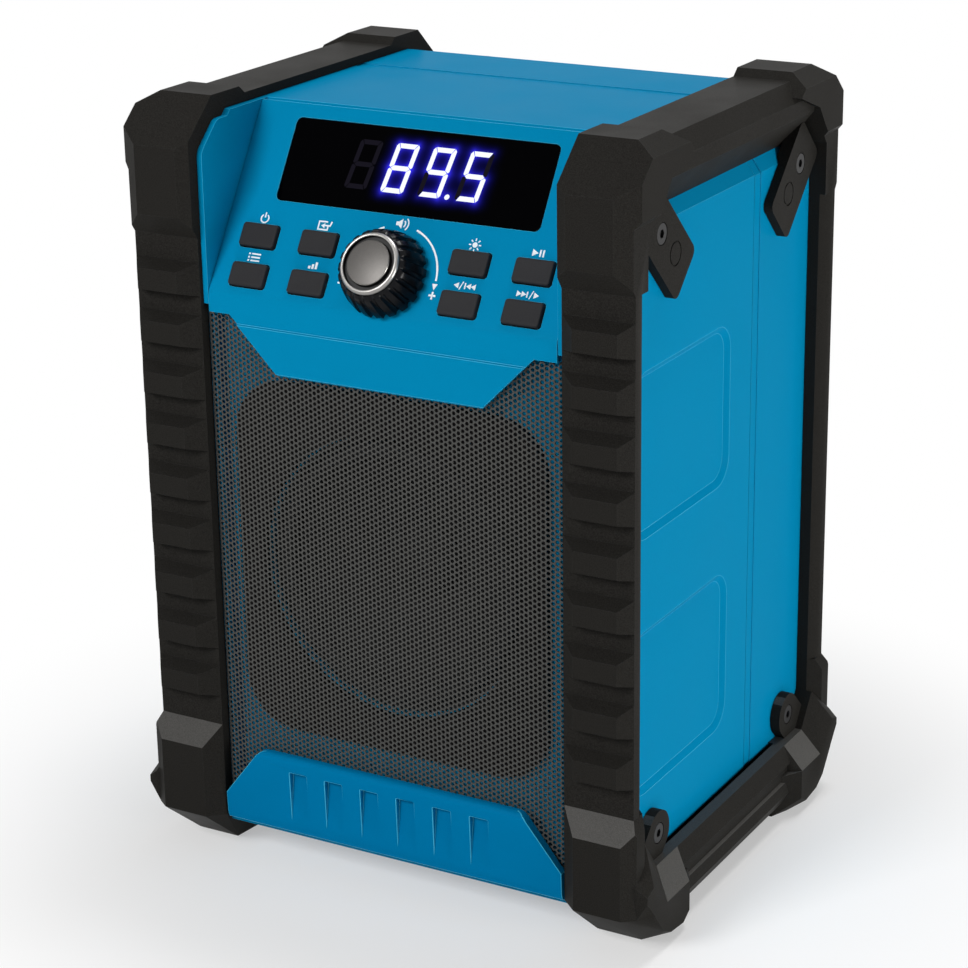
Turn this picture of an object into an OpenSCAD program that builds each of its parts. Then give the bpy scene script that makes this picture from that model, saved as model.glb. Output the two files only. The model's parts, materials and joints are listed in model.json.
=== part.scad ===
// Jobsite radio, millimetres, +Z up, origin at the bottom centre.
// The front is at -Y. Inside the modules y runs from 0 at the front ribs to overall_d.

/* [Body] */
// Width of the blue body across its two sides
body_w = 164; // [150:1:200]
// Depth over the ribs of the side frames
overall_d = 156.5; // [130:0.5:190]
// Height from the ground to the top of the side frames
overall_h = 257.2; // [215:0.1:310]
// Thickness of the housing walls
wall = 2.6; // [2:0.1:3.4]
// Depth of the rear housing
rear_half = 47.5; // [44:0.5:60]

/* [Side frames] */
// Width of a frame bar seen from the front
bar_w = 24; // [20:0.5:30]
// How far a frame stands out from the side of the body
bar_out = 6; // [4:0.5:9]
// Ribs on each column
rib_count = 9; // [5:1:12]
// How far a rib stands proud of its column
rib_h = 4.8; // [2:0.1:6]

/* [Control panel] */
// Lean of the control panel back from upright, in degrees
panel_lean = 32.3; // [20:0.1:40]
// Thickness of the control panel
panel_t = 2.6; // [2:0.1:4]
// Height of the display window along the slope
window_h = 27.6; // [20:0.1:32]
// Width of a button
button_w = 12.8; // [8:0.1:15]
// Height of a button along the slope
button_h = 7.6; // [5:0.1:9]
// Travel of a button
button_travel = 1; // [0.5:0.1:1.5]
// Radius of the volume knob
knob_r = 14; // [10:0.5:16]
// Height of the volume knob above the panel
knob_h = 13; // [8:0.5:18]
// Gap between a moving piece and its surroundings
gap = 0.35; // [0.3:0.01:0.6]

/* [Loudspeaker] */
// Radius of the loudspeaker flange
speaker_r = 52; // [40:0.5:54]
// Travel of the cone each way
cone_travel = 1.5; // [0.5:0.1:2]

/* [Battery bay] */
// Diameter of a cell
cell_d = 26; // [20:0.1:34.2]
// Length of a cell without its nib
cell_l = 48.5; // [44:0.5:56]

/* [Antenna] */
// Outer radius of the widest antenna tube
mast_r = 3; // [2.4:0.1:3.4]
// Visible length of the widest antenna tube
mast_l = 122; // [80:1:130]

/* [Hidden] */
$fn = 48;
blue = [0.02, 0.48, 0.70];
teal = [0.02, 0.44, 0.64];
coal = [0.11, 0.11, 0.12];
rubber = [0.08, 0.08, 0.09];
steel = [0.62, 0.63, 0.65];
brass = [0.74, 0.6, 0.3];
green = [0.05, 0.3, 0.16];
hw = body_w / 2;
xo = hw + bar_out;
xi = xo - bar_w;
xp = xo + 2;
xf = xo + 5.8;
rail_top = overall_h - 2.4;
body_top = overall_h - 5.5;
body_bot = 12;
yb0 = 9;
yb1 = overall_d - 9;
seam = yb1 - rear_half;
side_z = overall_h - 28.2;
skirt_top = 42.5;
panel_z = overall_h - 60.2;
panel_y = 6;
panel_hw = xi - 2.2;
slope_l = (body_top - panel_z) / cos(panel_lean);
crease_y = panel_y + (body_top - panel_z) * tan(panel_lean);
trim_z = panel_z - 24;
window_hw = panel_hw - 15;
window_v0 = 32.4;
button_u1 = panel_hw - 35;
button_u2 = panel_hw - 13.2;
button_v1 = 7;
button_v2 = 20;
knob_v = 12.8;
shaft_r = 3;
front_y = panel_y + (knob_v - knob_r + 5) * sin(panel_lean) - (knob_h - 0.2) * cos(panel_lean);
board_w = -9.6;
baffle_y = 12;
baffle_t = 3;
spk_z = (panel_z + 23) / 2;
hole_r = speaker_r - 5.5;
bezel_hw = speaker_r + 4;
bezel_hh = speaker_r + 7.5;
pocket_hw = max(xi - 3.5, bezel_hw + 0.4);
flange_y = baffle_y + baffle_t + 1;
spk_screw_r = speaker_r - 2.5;
bay_hw = cell_l + 6;
bay_z0 = 27;
bay_z1 = bay_z0 + 2 * cell_d + 9.2;
bay_y = yb1 - 2.6 - cell_d - 3;
door_y = yb1 - 2.3;
hinge_y = yb1 - 0.6;
hinge_z = bay_z0 - 1;
row_z1 = bay_z0 + 2.4 + cell_d / 2;
row_z2 = bay_z1 - 2.4 - cell_d / 2;
lug_y = 27.5;
lug_z1 = 33.7;
lug_z2 = overall_h - 30;
post_x = bezel_hw;
post_z = [body_bot + 5.6, bay_z1 + 12.8, panel_z - 9];
mb_y = yb1 - 24;
mb_z0 = bay_z1 + 8;
mb_z1 = panel_z + 20;
mb_hw = 46;
sock_x = 26;
sock_z = bay_z1 + 26;
sock_hw = 22;
sock_hh = 10;
sock_y = yb1 - 12;
ledge_n = panel_t + 2.2;
ledge_y = crease_y + ledge_n / cos(panel_lean);
ledge_z = body_top - (ledge_y - baffle_y - baffle_t) / tan(panel_lean);
ant_x = -44;
ant_y = yb1 + 5;
ant_z = bay_z1 + 25;

module seat() {
  translate([0, -(overall_d + front_y) / 2, 0]) children();
}

module both() {
  children();
  mirror([1, 0, 0]) children();
}

// Both halves, mirrored front to back about the middle of the depth
module fore_aft() {
  children();
  translate([0, overall_d, 0]) mirror([0, 1, 0]) children();
}

// A side view outline [y, z] made solid from x0 to x1
module side_prism(x0, x1, pts) {
  translate([x0, 0, 0]) rotate([90, 0, 90]) linear_extrude(x1 - x0) polygon(pts);
}

// A front view outline [x, z] made solid from y0 to y1
module front_prism(y0, y1, pts) {
  translate([0, y1, 0]) rotate([90, 0, 0]) linear_extrude(y1 - y0) polygon(pts);
}

// A round bar along Y from y0 to y1
module bar_y(x, z, r, y0, y1) {
  translate([x, y1, z]) rotate([90, 0, 0]) cylinder(r = r, h = y1 - y0);
}

// A round bar along X from x0 to x1
module bar_x(y, z, r, x0, x1) {
  translate([x0, y, z]) rotate([0, 90, 0]) cylinder(r = r, h = x1 - x0);
}

// Local frame of the sloping panel: x across, y up the slope, z straight out
module on_panel() {
  translate([0, panel_y, panel_z]) rotate([90 - panel_lean, 0, 0]) children();
}

function arc_pts(cx, cy, r, a0, a1, n) =
  [for (i = [0 : n]) [cx + r * cos(a0 + (a1 - a0) * i / n), cy + r * sin(a0 + (a1 - a0) * i / n)]];

// Rectangle with rounded corners, centred
module round_rect(w, h, r, t) {
  linear_extrude(t) polygon(concat(
    arc_pts(w / 2 - r, h / 2 - r, r, 0, 90, 6), arc_pts(r - w / 2, h / 2 - r, r, 90, 180, 6),
    arc_pts(r - w / 2, r - h / 2, r, 180, 270, 6), arc_pts(w / 2 - r, r - h / 2, r, 270, 360, 6)));
}

// Front view outline of the body, grown by g
function body_section(g) = [
  [xi + 2 + g, body_top + g], [hw + g, side_z + g], [hw + g, 25 - g], [hw - 8 + g, body_bot + 3 - g],
  [hw - 12 + g, body_bot - g], [12 - hw - g, body_bot - g], [8 - hw - g, body_bot + 3 - g],
  [-hw - g, 25 - g], [-hw - g, side_z + g], [-xi - 2 - g, body_top + g]];

// Outside of the whole blue body without its cheeks, grown by g
module envelope(g) {
  intersection() {
    front_prism(yb0 - g, yb1 + g, body_section(g));
    side_prism(-hw - 9, hw + 9, [[yb0 - g, 0], [yb0 - g, body_top - 13.7], [yb0 + 13.7, body_top + g],
      [yb1 - 13.7, body_top + g], [yb1 + g, body_top - 13.7], [yb1 + g, 0]]);
  }
}

// ---- housing ----

module cheek(x0, x1) {
  side_prism(x0, x1, concat([[yb0 + 2, panel_z - 4], [panel_y + 0.2, panel_z - 4]],
    arc_pts(panel_y + 5.2, body_top - 12.6, 5, 180, 138, 4), arc_pts(panel_y + 11, body_top - 5.8, 4, 130, 95, 3),
    [[36, body_top - 1.6], [crease_y + 1, body_top], [crease_y + 6, body_top - 3],
     [yb0 + 8, panel_z - 4]]));
}

// Recessed panels with sloping walls, [z0, z1] of each
recess = 1.4;
recess_slope = 2.2;
module side_panels() {
  for (s = [[48, 103], [side_z - 96, side_z - 43]])
    for (m = [0, 1]) mirror([m, 0, 0])
      translate([hw - recess, (84 + 15) / 2, (s[0] + s[1]) / 2]) rotate([90, 0, 90]) hull() {
        round_rect(69 - 2 * recess_slope, s[1] - s[0] - 2 * recess_slope, 9 - recess_slope, 0.01);
        translate([0, 0, recess]) round_rect(69, s[1] - s[0], 9, 0.01);
        translate([0, 0, 2 * recess]) round_rect(69 + 2 * recess_slope, s[1] - s[0] + 2 * recess_slope,
          9 + recess_slope, 0.01);
      }
}

module front_cavity() {
  intersection() {
    front_prism(-1, seam + 1, body_section(-wall));
    union() {
      side_prism(-hw, hw, [[baffle_y + baffle_t, 0], [baffle_y + baffle_t, ledge_z],
        [ledge_y, body_top], [seam + 1, body_top], [seam + 1, 0]]);
      both() side_prism(xi + 0.6, hw, [[yb0 + wall, panel_z - 8], [yb0 + wall, body_top - 14.8],
        [yb0 + 14.8, body_top - wall], [70, body_top - wall], [70, panel_z - 8]]);
    }
  }
}

module front_housing() {
  color(blue) seat() difference() {
    union() {
      difference() {
        union() {
          intersection() {
            envelope(0);
            translate([-200, -5, 0]) cube([400, seam + 5, 400]);
          }
          both() cheek(panel_hw + 0.1, xi - 0.2);
        }
        front_cavity();
        on_panel() translate([-panel_hw - 0.2, -14, -panel_t - 0.2])
          cube([2 * panel_hw + 0.4, slope_l + 40, 60]);
        on_panel() translate([4 - panel_hw, 1.2, -20]) cube([2 * panel_hw - 8, slope_l - 7, 40]);
        translate([-pocket_hw, 0, 16]) cube([2 * pocket_hw, baffle_y, panel_z - 8 - 16]);
        bar_y(0, spk_z, hole_r, 0, 40);
        side_panels();
      }
      for (m = [0, 1]) mirror([m, 0, 0]) intersection() {
        envelope(0);
        union() {
          for (z = [lug_z1, lug_z2]) bar_x(lug_y, z, 4.2, hw - 13, hw - 1);
          for (z = post_z) bar_y(post_x, z, 4, baffle_y + 1, seam);
        }
      }
      for (a = [45, 135, 225, 315]) translate([0, baffle_y + 1, spk_z]) rotate([0, a, 0])
        translate([spk_screw_r, 0, 0]) bar_y(0, 0, 2.6, 0, baffle_t - 1);
      control_bosses();
    }
    for (z = [lug_z1, lug_z2]) both() bar_x(lug_y, z, 1.55, hw - 12, hw + 1);
    for (z = post_z) both() bar_y(post_x, z, 1.5, seam - 24, seam + 1);
    for (a = [45, 135, 225, 315]) translate([0, 0, spk_z]) rotate([0, a, 0])
      bar_y(spk_screw_r, 0, 1.25, baffle_y + 0.6, flange_y);
    control_boss_holes();
  }
}

// Bosses behind the sloping opening that the control board is screwed to
boss_u = panel_hw - 2.4;
module control_bosses() {
  for (m = [0, 1]) mirror([m, 0, 0]) for (v = [10, slope_l - 16]) on_panel()
    translate([boss_u, v, board_w + 0.05]) cylinder(r = 2.8, h = -board_w - panel_t - 1.2);
}

module control_boss_holes() {
  for (m = [0, 1]) mirror([m, 0, 0]) for (v = [10, slope_l - 16]) on_panel()
    translate([boss_u, v, board_w - 1]) cylinder(r = 1.1, h = 6);
}

module rear_housing() {
  color(blue) seat() difference() {
    union() {
      difference() {
        intersection() {
          envelope(0);
          translate([-200, seam + 1, 0]) cube([400, 300, 400]);
        }
        intersection() {
          front_prism(seam, yb1 - wall, body_section(-wall));
          side_prism(-hw, hw, [[seam, 0], [seam, body_top], [yb1 - 14.8, body_top],
            [yb1 - wall, body_top - 14.8], [yb1 - wall, 0]]);
        }
      }
      // battery box
      translate([-bay_hw - 4, bay_y - 2, bay_z0 - 5]) cube([2 * bay_hw + 8, yb1 - bay_y + 2, bay_z1 - bay_z0 + 9.4]);
      // socket box
      translate([sock_x - sock_hw - 2, sock_y - 2, sock_z - sock_hh - 2])
        cube([2 * sock_hw + 4, yb1 - sock_y + 2, 2 * sock_hh + 6.8]);
      for (m = [0, 1]) mirror([m, 0, 0]) intersection() {
        envelope(0);
        union() {
          for (z = [lug_z1, lug_z2]) bar_x(overall_d - lug_y, z, 4.2, hw - 13, hw - 1);
          for (z = post_z) bar_y(post_x, z, 5.2, seam + 1, yb1);
        }
      }
      for (x = [-mb_hw + 5, mb_hw - 5]) for (z = [mb_z0 + 5, mb_z1 - 5]) bar_y(x, z, 3, mb_y + 1.6, yb1 - 1);
      bar_y(ant_x, ant_z, 7, yb1 - 5.6, yb1);
    }
    translate([-bay_hw, bay_y, bay_z0]) cube([2 * bay_hw, 60, bay_z1 - bay_z0]);
    // door recess and hinge groove
    translate([-bay_hw - 2.4, door_y - 0.4, hinge_z - 0.1]) cube([2 * bay_hw + 4.8, 9, bay_z1 + 2.4 - hinge_z]);
    bar_x(hinge_y, hinge_z, 2.35, -bay_hw - 2.4, bay_hw + 2.4);
    translate([-bay_hw - 2.4, hinge_y - 2.35, hinge_z]) cube([2 * bay_hw + 4.8, 9, 3]);
    both() bar_x(hinge_y, hinge_z, 1.27, bay_hw, bay_hw + 4.2);
    // thumb notch over the door
    translate([-12, yb1 - 1.6, bay_z1 + 2]) cube([24, 9, 3.4]);
    // shallow band behind the seam
    difference() {
      front_prism(seam + 0.5, seam + 5, body_section(2));
      front_prism(seam, seam + 6, body_section(-0.3));
    }
    // socket recess and the holes the sockets look through
    translate([sock_x - sock_hw, sock_y, sock_z - sock_hh]) cube([2 * sock_hw, 20, 2 * sock_hh + 2]);
    bar_y(sock_x - 13, sock_z, 5.1, yb1 - 20, yb1);
    bar_y(sock_x, sock_z, 3.6, yb1 - 20, yb1);
    translate([sock_x + 7, yb1 - 20, sock_z - 3.6]) cube([14, 20, 7.2]);
    bar_x(yb1 - 1.2, sock_z + sock_hh + 1.9, 2.2, sock_x - sock_hw, sock_x + sock_hw);
    both() for (z = [lug_z1, lug_z2]) bar_x(overall_d - lug_y, z, 1.55, hw - 12, hw + 1);
    for (z = post_z) both() {
      bar_y(post_x, z, 1.75, seam, yb1);
      bar_y(post_x, z, 3.6, seam + 13, yb1 + 1);
    }
    for (x = [-mb_hw + 5, mb_hw - 5]) for (z = [mb_z0 + 5, mb_z1 - 5]) bar_y(x, z, 1.1, mb_y, mb_y + 9);
    bar_y(ant_x, ant_z, 2.06, yb1 - 20, yb1 + 1);
  }
}

module housing_gasket() {
  color(rubber) seat() difference() {
    front_prism(seam, seam + 1, body_section(-0.6));
    front_prism(seam - 1, seam + 2, body_section(-2.1));
  }
}

module screw_y(x, z, y_head, head_r, head_h, r, l) {
  bar_y(x, z, r, y_head - l, y_head);
  difference() {
    bar_y(x, z, head_r, y_head, y_head + head_h);
    for (a = [0, 90]) translate([x, y_head + head_h, z]) rotate([0, a, 0]) translate([-head_r * 0.6, -0.9, -0.35])
      cube([head_r * 1.2, 2, 0.7]);
  }
}

module housing_screws() {
  color(steel) seat() for (z = post_z) both() screw_y(post_x, z, seam + 13, 3.1, 2.2, 1.5, 30);
}

// ---- side frames ----

rib_top = overall_h - 51;
low_top = 48.5;
bar_d = 12.8;
rail_z = 25.8;
foot_x = (xi + xf) / 2 + 1;
foot_y = 31.5;
rib_pitch = (rib_top - 14.5 - low_top - 6.6) / (rib_count - 1);

function rib_pts() = [for (i = [0 : rib_count - 1]) each [
  [rib_h, rib_top - i * rib_pitch], [0, rib_top - 2.6 - i * rib_pitch],
  [0, rib_top - 9.5 - i * rib_pitch], [rib_h, rib_top - 10.7 - i * rib_pitch]]];

module corner_block() {
  intersection() {
    linear_extrude(300) polygon([[xi, 60], [xi, 2.2], [xi + 3.8, 0], [xi + 19.1, 0],
      [xp, 4.65], [xp, 60]]);
    side_prism(xi - 1, xf, [[rib_h, overall_h - 43.2], [0, overall_h - 36.2], [0, overall_h - 14.2],
      [15.7, overall_h], [31, overall_h], [39, overall_h - 6.5], [24, overall_h - 12], [19.5, overall_h - 18],
      [bar_d, overall_h - 26], [bar_d, overall_h - 43.2]]);
    front_prism(-1, 60, [[xi - 1, overall_h + 1], [xi + 19.1, overall_h], [xp, overall_h - 3.9],
      [xp, overall_h - 21.2], [xo, overall_h - 23.2], [xo, overall_h - 60], [xi - 1, overall_h - 60]]);
  }
}

// Ring round the side of the body: top edge, crease and outer face of its lower corner
ring_x = xo + 2.2;
foot_plan = [[xi, bar_d], [xi, rib_h], [xi + 5.4, 0], [xo - 2.2, 0], [xp, 3]];

module slice(x, pts) {
  side_prism(x, x + 0.01, pts);
}

module foot_block() {
  // lower half: slopes in to the ground from the front and from the outer face
  hull() {
    translate([0, 0, 15.5]) linear_extrude(0.8) polygon(concat(foot_plan, [[xf, 8.2], [xf, 33.3], [xp, 38],
      [xo, 43], [xi, 43]]));
    translate([0, 0, 0.6]) linear_extrude(0.01) polygon([[xi + 5, 17.5], [xo - 3.4, 17.5], [xo + 0.8, 25.4],
      [xo + 0.8, 34], [xo - 2, 41], [xi + 2, 41]]);
    slice(xf - 0.01, [[8.2, 15.5], [14.6, 7.5], [20, 4.5], [29, 3.5], [33.3, 6], [33.3, 15.5]]);
  }
  // upright part in front of the column
  intersection() {
    linear_extrude(300) polygon(concat(foot_plan, [[xp, 8.5], [xo - 2, bar_d]]));
    side_prism(xi - 1, xf, [[rib_h, low_top], [0, low_top - 7.8], [0, 15.9], [bar_d + 1, 15.9],
      [bar_d + 1, low_top]]);
    front_prism(-1, 60, [[xi - 1, 0], [xf, 0], [xp, 44], [xo, low_top], [xi - 1, low_top]]);
  }
  // slanted corner of the ring
  hull() {
    slice(xf - 0.01, [[3, 24.3], [7.5, 26], [17.3, 16.2], [14.6, 9], [8.4, 15.5], [3, 22]]);
    slice(ring_x - 0.01, [[1.9, 27], [9, 30.8], [18.4, 19.6], [14, 12], [3, 16]]);
    side_prism(hw - 2, xo, [[4, 28], [bar_d, 36.9], [21, rail_z], [14, 12], [4, 16]]);
  }
  // start of the bottom rail
  hull() {
    slice(xf - 0.01, [[14.6, 9], [17.3, 16.2], [33, 16.2], [33.3, 8]]);
    slice(ring_x - 0.01, [[14, 12], [18.4, 19.6], [35.5, 19.6], [35.5, 8]]);
    side_prism(hw - 2, xo, [[14, 12], [21, rail_z], [36, rail_z], [36, 10]]);
  }
}

module column() {
  intersection() {
    side_prism(xi - 1, xo + 1, concat([[bar_d + 1, 30], [rib_h, 30]],
      [for (i = [len(rib_pts()) - 1 : -1 : 0]) rib_pts()[i]],
      [[rib_h, overall_h - 40], [bar_d + 1, overall_h - 40]]));
    linear_extrude(300) polygon([[xi, bar_d], [xi, rib_h], [xi + 5.7, 0], [xo - 3.5, 0], [xo, rib_h],
      [xo, 8.5], [xo - 2, bar_d]]);
  }
}

// 45 degree arms that carry the screws; corners rounded by a disc at the end
module upper_lug() {
  translate([hw - 1, lug_y, lug_z2]) rotate([90, 0, 90]) rotate(-45) translate([6.2, 0, 0])
    round_rect(34, 18.6, 2.6, 4.2);
}

module lower_lug() {
  translate([hw - 1, lug_y, lug_z1]) rotate([90, 0, 90]) rotate(45) {
    translate([-10, 0, 0]) round_rect(22, 15, 1.5, 4.6);
    cylinder(r = 7.5, h = 4.6);
  }
}

module frame_right() {
  difference() {
    union() {
      fore_aft() {
        corner_block();
        foot_block();
        column();
        upper_lug();
        lower_lug();
      }
      front_prism(24, overall_d - 24, [[xi, rail_top], [xo - 4.5, rail_top], [xo, rail_top - 5.8],
        [xo, rail_top - 10.8], [hw, rail_top - 18.3], [hw - 6, rail_top - 25.8], [xi, rail_top - 8]]);
      front_prism(34, overall_d - 34, [[xi + 2, 5.2], [xo + 0.6, 5.2], [xo + 2.9, 9.7], [ring_x, 13.7],
        [xo + 1.2, 14.2], [xo + 1.2, 18.5], [ring_x, 19.6], [xo, rail_z], [xo - 4, rail_z], [hw, 20],
        [hw - 6, 19], [xi + 2, 13]]);
    }
    envelope(0.2);
    fore_aft() {
      bar_x(lug_y, lug_z2, 1.9, hw - 5, hw + 9);
      bar_x(lug_y, lug_z2, 3.5, hw + 1.6, hw + 9);
      bar_x(lug_y, lug_z1, 1.9, hw - 5, hw + 9);
      bar_x(lug_y, lug_z1, 3.5, hw + 2, hw + 9);
      // ring recess round the peg
      translate([hw + 2.8, lug_y + 9.2, lug_z2 - 8]) rotate([0, 90, 0]) difference() {
        cylinder(r = 3.9, h = 5);
        cylinder(r = 3.4, h = 5);
      }
      // pocket and blind hole of a rubber foot
      translate([foot_x, foot_y, -1]) cylinder(r = 7.6, h = 3);
      translate([foot_x, foot_y, -1]) cylinder(r = 2.5, h = 6);
    }
  }
}

module side_frame_right() {
  color(coal) seat() frame_right();
}

module side_frame_left() {
  color(coal) seat() mirror([1, 0, 0]) frame_right();
}

module frame_screws() {
  color(steel) seat() both() fore_aft() {
    for (p = [[lug_y, lug_z2, hw + 1.6], [lug_y, lug_z1, hw + 2]]) {
      bar_x(p[0], p[1], 1.5, hw - 8, p[2]);
      difference() {
        bar_x(p[0], p[1], 3.2, p[2], p[2] + 1.5);
        translate([p[2] + 0.6, p[0], p[1]]) rotate([90, 0, 90]) cylinder(r = 1.45, h = 3, $fn = 6);
      }
    }
  }
}

module rubber_feet() {
  color(rubber) seat() both() fore_aft() translate([foot_x, foot_y, 0]) {
    cylinder(r = 7.5, h = 2);
    cylinder(r = 2.45, h = 4.6);
  }
}

// ---- control panel ----

lip_r = 5;
lip_y = panel_y + lip_r;
lip_z = panel_z - lip_r * tan(panel_lean / 2);
band_z = panel_z - 6.4;

module control_panel() {
  color(blue) seat() difference() {
    union() {
      side_prism(-panel_hw, panel_hw, concat(
        [[panel_y, band_z]], arc_pts(lip_y, lip_z, lip_r, 180, 180 - panel_lean, 6),
        [[crease_y, body_top], [crease_y + panel_t * cos(panel_lean), body_top - panel_t * sin(panel_lean)]],
        arc_pts(lip_y, lip_z, lip_r - panel_t, 180 - panel_lean, 180, 4), [[panel_y + panel_t, band_z]]));
      intersection() {
        side_prism(-panel_hw, panel_hw, [[panel_y + 1, band_z + 3], [panel_y - 0.2, band_z],
          [panel_y - 0.2, band_z - 2.6], [panel_y - 0.8, band_z - 3], [panel_y - 1, trim_z + 0.6],
          [panel_y - 0.4, trim_z], [panel_y + 0.95, trim_z], [panel_y + 0.95, band_z],
          [panel_y + 2, band_z + 3]]);
        front_prism(0, 20, [[-54 - panel_hw + 61.8, band_z + 3], [-54 - panel_hw + 61.8, band_z],
          [25.3 - panel_hw, trim_z], [panel_hw - 25.3, trim_z], [panel_hw - 7.8, band_z],
          [panel_hw - 7.8, band_z + 3]]);
      }
    }
    // window with a rebate for the lens
    on_panel() translate([1.6 - window_hw, window_v0 + 1.6, -10])
      cube([2 * window_hw - 3.2, window_h - 3.2, 20]);
    on_panel() translate([0, window_v0 + window_h / 2, -1.8])
      round_rect(2 * window_hw + 0.2, window_h + 0.2, 2, 20);
    on_panel() translate([0, knob_v, -10]) cylinder(r = 3.9, h = 20);
    for (u = [-button_u2, -button_u1, button_u1, button_u2]) for (v = [button_v1, button_v2])
      on_panel() translate([u, v, -10]) round_rect(button_w + 2 * gap, button_h + 2 * gap, 1.2, 20);
  }
}

module display_lens() {
  color([0.02, 0.02, 0.025]) seat() on_panel() translate([0, window_v0 + window_h / 2, -1.78])
    round_rect(2 * window_hw, window_h, 1.9, 1.7);
}

module display_module() {
  color([0.15, 0.15, 0.16]) seat() on_panel() {
    translate([4 - window_hw, window_v0 + 3, board_w + 0.02])
      cube([2 * window_hw - 8, window_h - 6, -board_w - panel_t - 0.4]);
    translate([7 - window_hw, window_v0 + 4.6, -panel_t - 0.4]) cube([2 * window_hw - 14, window_h - 9.2, 0.8]);
  }
}

module control_board() {
  color(green) seat() on_panel() difference() {
    translate([-panel_hw + 0.3, 3, board_w - 1.6]) cube([2 * panel_hw - 0.6, slope_l - 7, 1.6]);
    for (m = [0, 1]) mirror([m, 0, 0]) for (v = [10, slope_l - 16])
      translate([boss_u, v, board_w - 3]) cylinder(r = 1.4, h = 6);
  }
}

module control_screws() {
  color(steel) seat() on_panel() for (m = [0, 1]) mirror([m, 0, 0]) for (v = [10, slope_l - 16])
    translate([boss_u, v, board_w - 1.6]) {
      translate([0, 0, -1.5]) cylinder(r = 2.2, h = 1.5);
      cylinder(r = 1.1, h = 5);
    }
}

module contact_pads() {
  color(brass) seat() on_panel()
    for (u = [-button_u2, -button_u1, button_u1, button_u2]) for (v = [button_v1, button_v2])
      translate([u, v, board_w]) cylinder(r = 2.6, h = 0.15);
}

// Rotary encoder under the knob
module encoder_body() {
  color(steel) seat() on_panel() difference() {
    union() {
      translate([-6, knob_v - 6, board_w]) cube([12, 12, 5.6]);
      translate([0, knob_v, board_w + 5.6]) cylinder(r = 3.5, h = -board_w - 5.6 + 0.1);
    }
    translate([0, knob_v, board_w + 1.6]) cylinder(r = shaft_r + 0.05, h = 20);
  }
}

module encoder_shaft() {
  color(steel) seat() on_panel() translate([0, knob_v, board_w + 2]) cylinder(r = shaft_r, h = knob_h - 4 - board_w - 2);
}

module knob() {
  color([0.07, 0.07, 0.09]) seat() on_panel() translate([0, knob_v, 0]) difference() {
    rotate_extrude($fn = 96) polygon([[shaft_r, 0.6], [knob_r - 0.2, 0.6], [knob_r, 1.4], [knob_r - 0.6, 5],
      [knob_r - 2.2, knob_h - 3], [knob_r - 2.9, knob_h - 1.9], [knob_r - 4, knob_h - 1.4],
      [knob_r - 4, knob_h - 4], [shaft_r, knob_h - 4]]);
    for (i = [0 : 19]) rotate(i * 18) translate([knob_r + 1.2, 0, 0]) rotate([0, -9, 0])
      cylinder(r = 2.1, h = 40, center = true, $fn = 16);
  }
}

// Brushed disc in a bevelled ring
module knob_cap() {
  color(steel) seat() on_panel() translate([0, knob_v, 0]) rotate_extrude($fn = 96)
    polygon([[0, knob_h - 4], [knob_r - 4.05, knob_h - 4], [knob_r - 4.05, knob_h - 1.2],
      [knob_r - 5, knob_h - 0.2], [knob_r - 5.4, knob_h - 0.2], [knob_r - 5.7, knob_h - 1.6],
      [knob_r - 6.7, knob_h - 1.6], [knob_r - 6.9, knob_h - 0.3], [knob_r - 7.2, knob_h], [0, knob_h]]);
}

module button(u, v) {
  color([0.13, 0.13, 0.14]) seat() on_panel() translate([u, v, 0]) {
    round_rect(button_w, button_h, 1, 1.1);
    translate([0, 0, 1.1]) round_rect(button_w - 0.6, button_h - 0.6, 0.8, 0.3);
    translate([0, 0, -panel_t - 0.4]) round_rect(button_w, button_h, 1, panel_t + 0.4);
    translate([0, 0, -panel_t - 1.5]) round_rect(button_w + 2, button_h + 2, 1, 1.1);
    translate([0, 0, board_w + button_travel + 0.5])
      cylinder(r = 2.4, h = -board_w - button_travel - 0.5 - panel_t - 1.5);
  }
}

module button_power() { button(-button_u2, button_v2); }
module button_source() { button(-button_u1, button_v2); }
module button_preset() { button(-button_u2, button_v1); }
module button_memory() { button(-button_u1, button_v1); }
module button_light() { button(button_u1, button_v2); }
module button_play() { button(button_u2, button_v2); }
module button_back() { button(button_u1, button_v1); }
module button_next() { button(button_u2, button_v1); }

// ---- front ----

module grille() {
  color([0.2, 0.2, 0.21]) seat() translate([0, 0, 15]) linear_extrude(band_z - 0.3 - 15)
    polygon([[-xi + 0.6, 8.1], [-xi + 10, 7.05], [xi - 10, 7.05], [xi - 0.6, 8.1], [xi - 0.6, 8.95],
      [xi - 10, 7.9], [-xi + 10, 7.9], [-xi + 0.6, 8.95]]);
}

module speaker_bezel() {
  color(coal) seat() difference() {
    translate([0, baffle_y, spk_z]) rotate([90, 0, 0]) round_rect(2 * bezel_hw, 2 * bezel_hh, 18, 2.6);
    bar_y(0, spk_z, hole_r + 0.5, 0, 40);
  }
}

module skirt() {
  color(teal) seat() difference() {
    intersection() {
      side_prism(-xi, xi, concat([[6.9, skirt_top], [6, skirt_top]],
        arc_pts(6, skirt_top - 2.5, 2.5, 90, 180, 5), [[4.4, 17.5], [5, 15.2], [6.9, 14.2]]));
      both() front_prism(0, 20, [[-1, skirt_top], [xi - 17, skirt_top], [xi - 15.2, skirt_top - 0.4],
        [xi - 13.7, skirt_top - 1.6], [xi - 0.8, skirt_top - 18], [xi - 0.8, 14], [-1, 14]]);
    }
    for (i = [-2.5 : 1 : 2.5]) side_prism(i * 13.6 - 3.3, i * 13.6 + 3.3,
      [[2, skirt_top - 5.2], [5.7, skirt_top - 5.2], [5.9, skirt_top - 7], [4, 16.5], [2, 16.5]]);
  }
}

// ---- loudspeaker ----

cone_r = hole_r - 9;
coil_r = 13;
motor_y = flange_y + 26;

module speaker_gasket() {
  color(rubber) seat() difference() {
    bar_y(0, spk_z, speaker_r, flange_y - 1, flange_y);
    bar_y(0, spk_z, hole_r + 0.5, 0, 60);
    spk_holes(1.6);
  }
}

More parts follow.
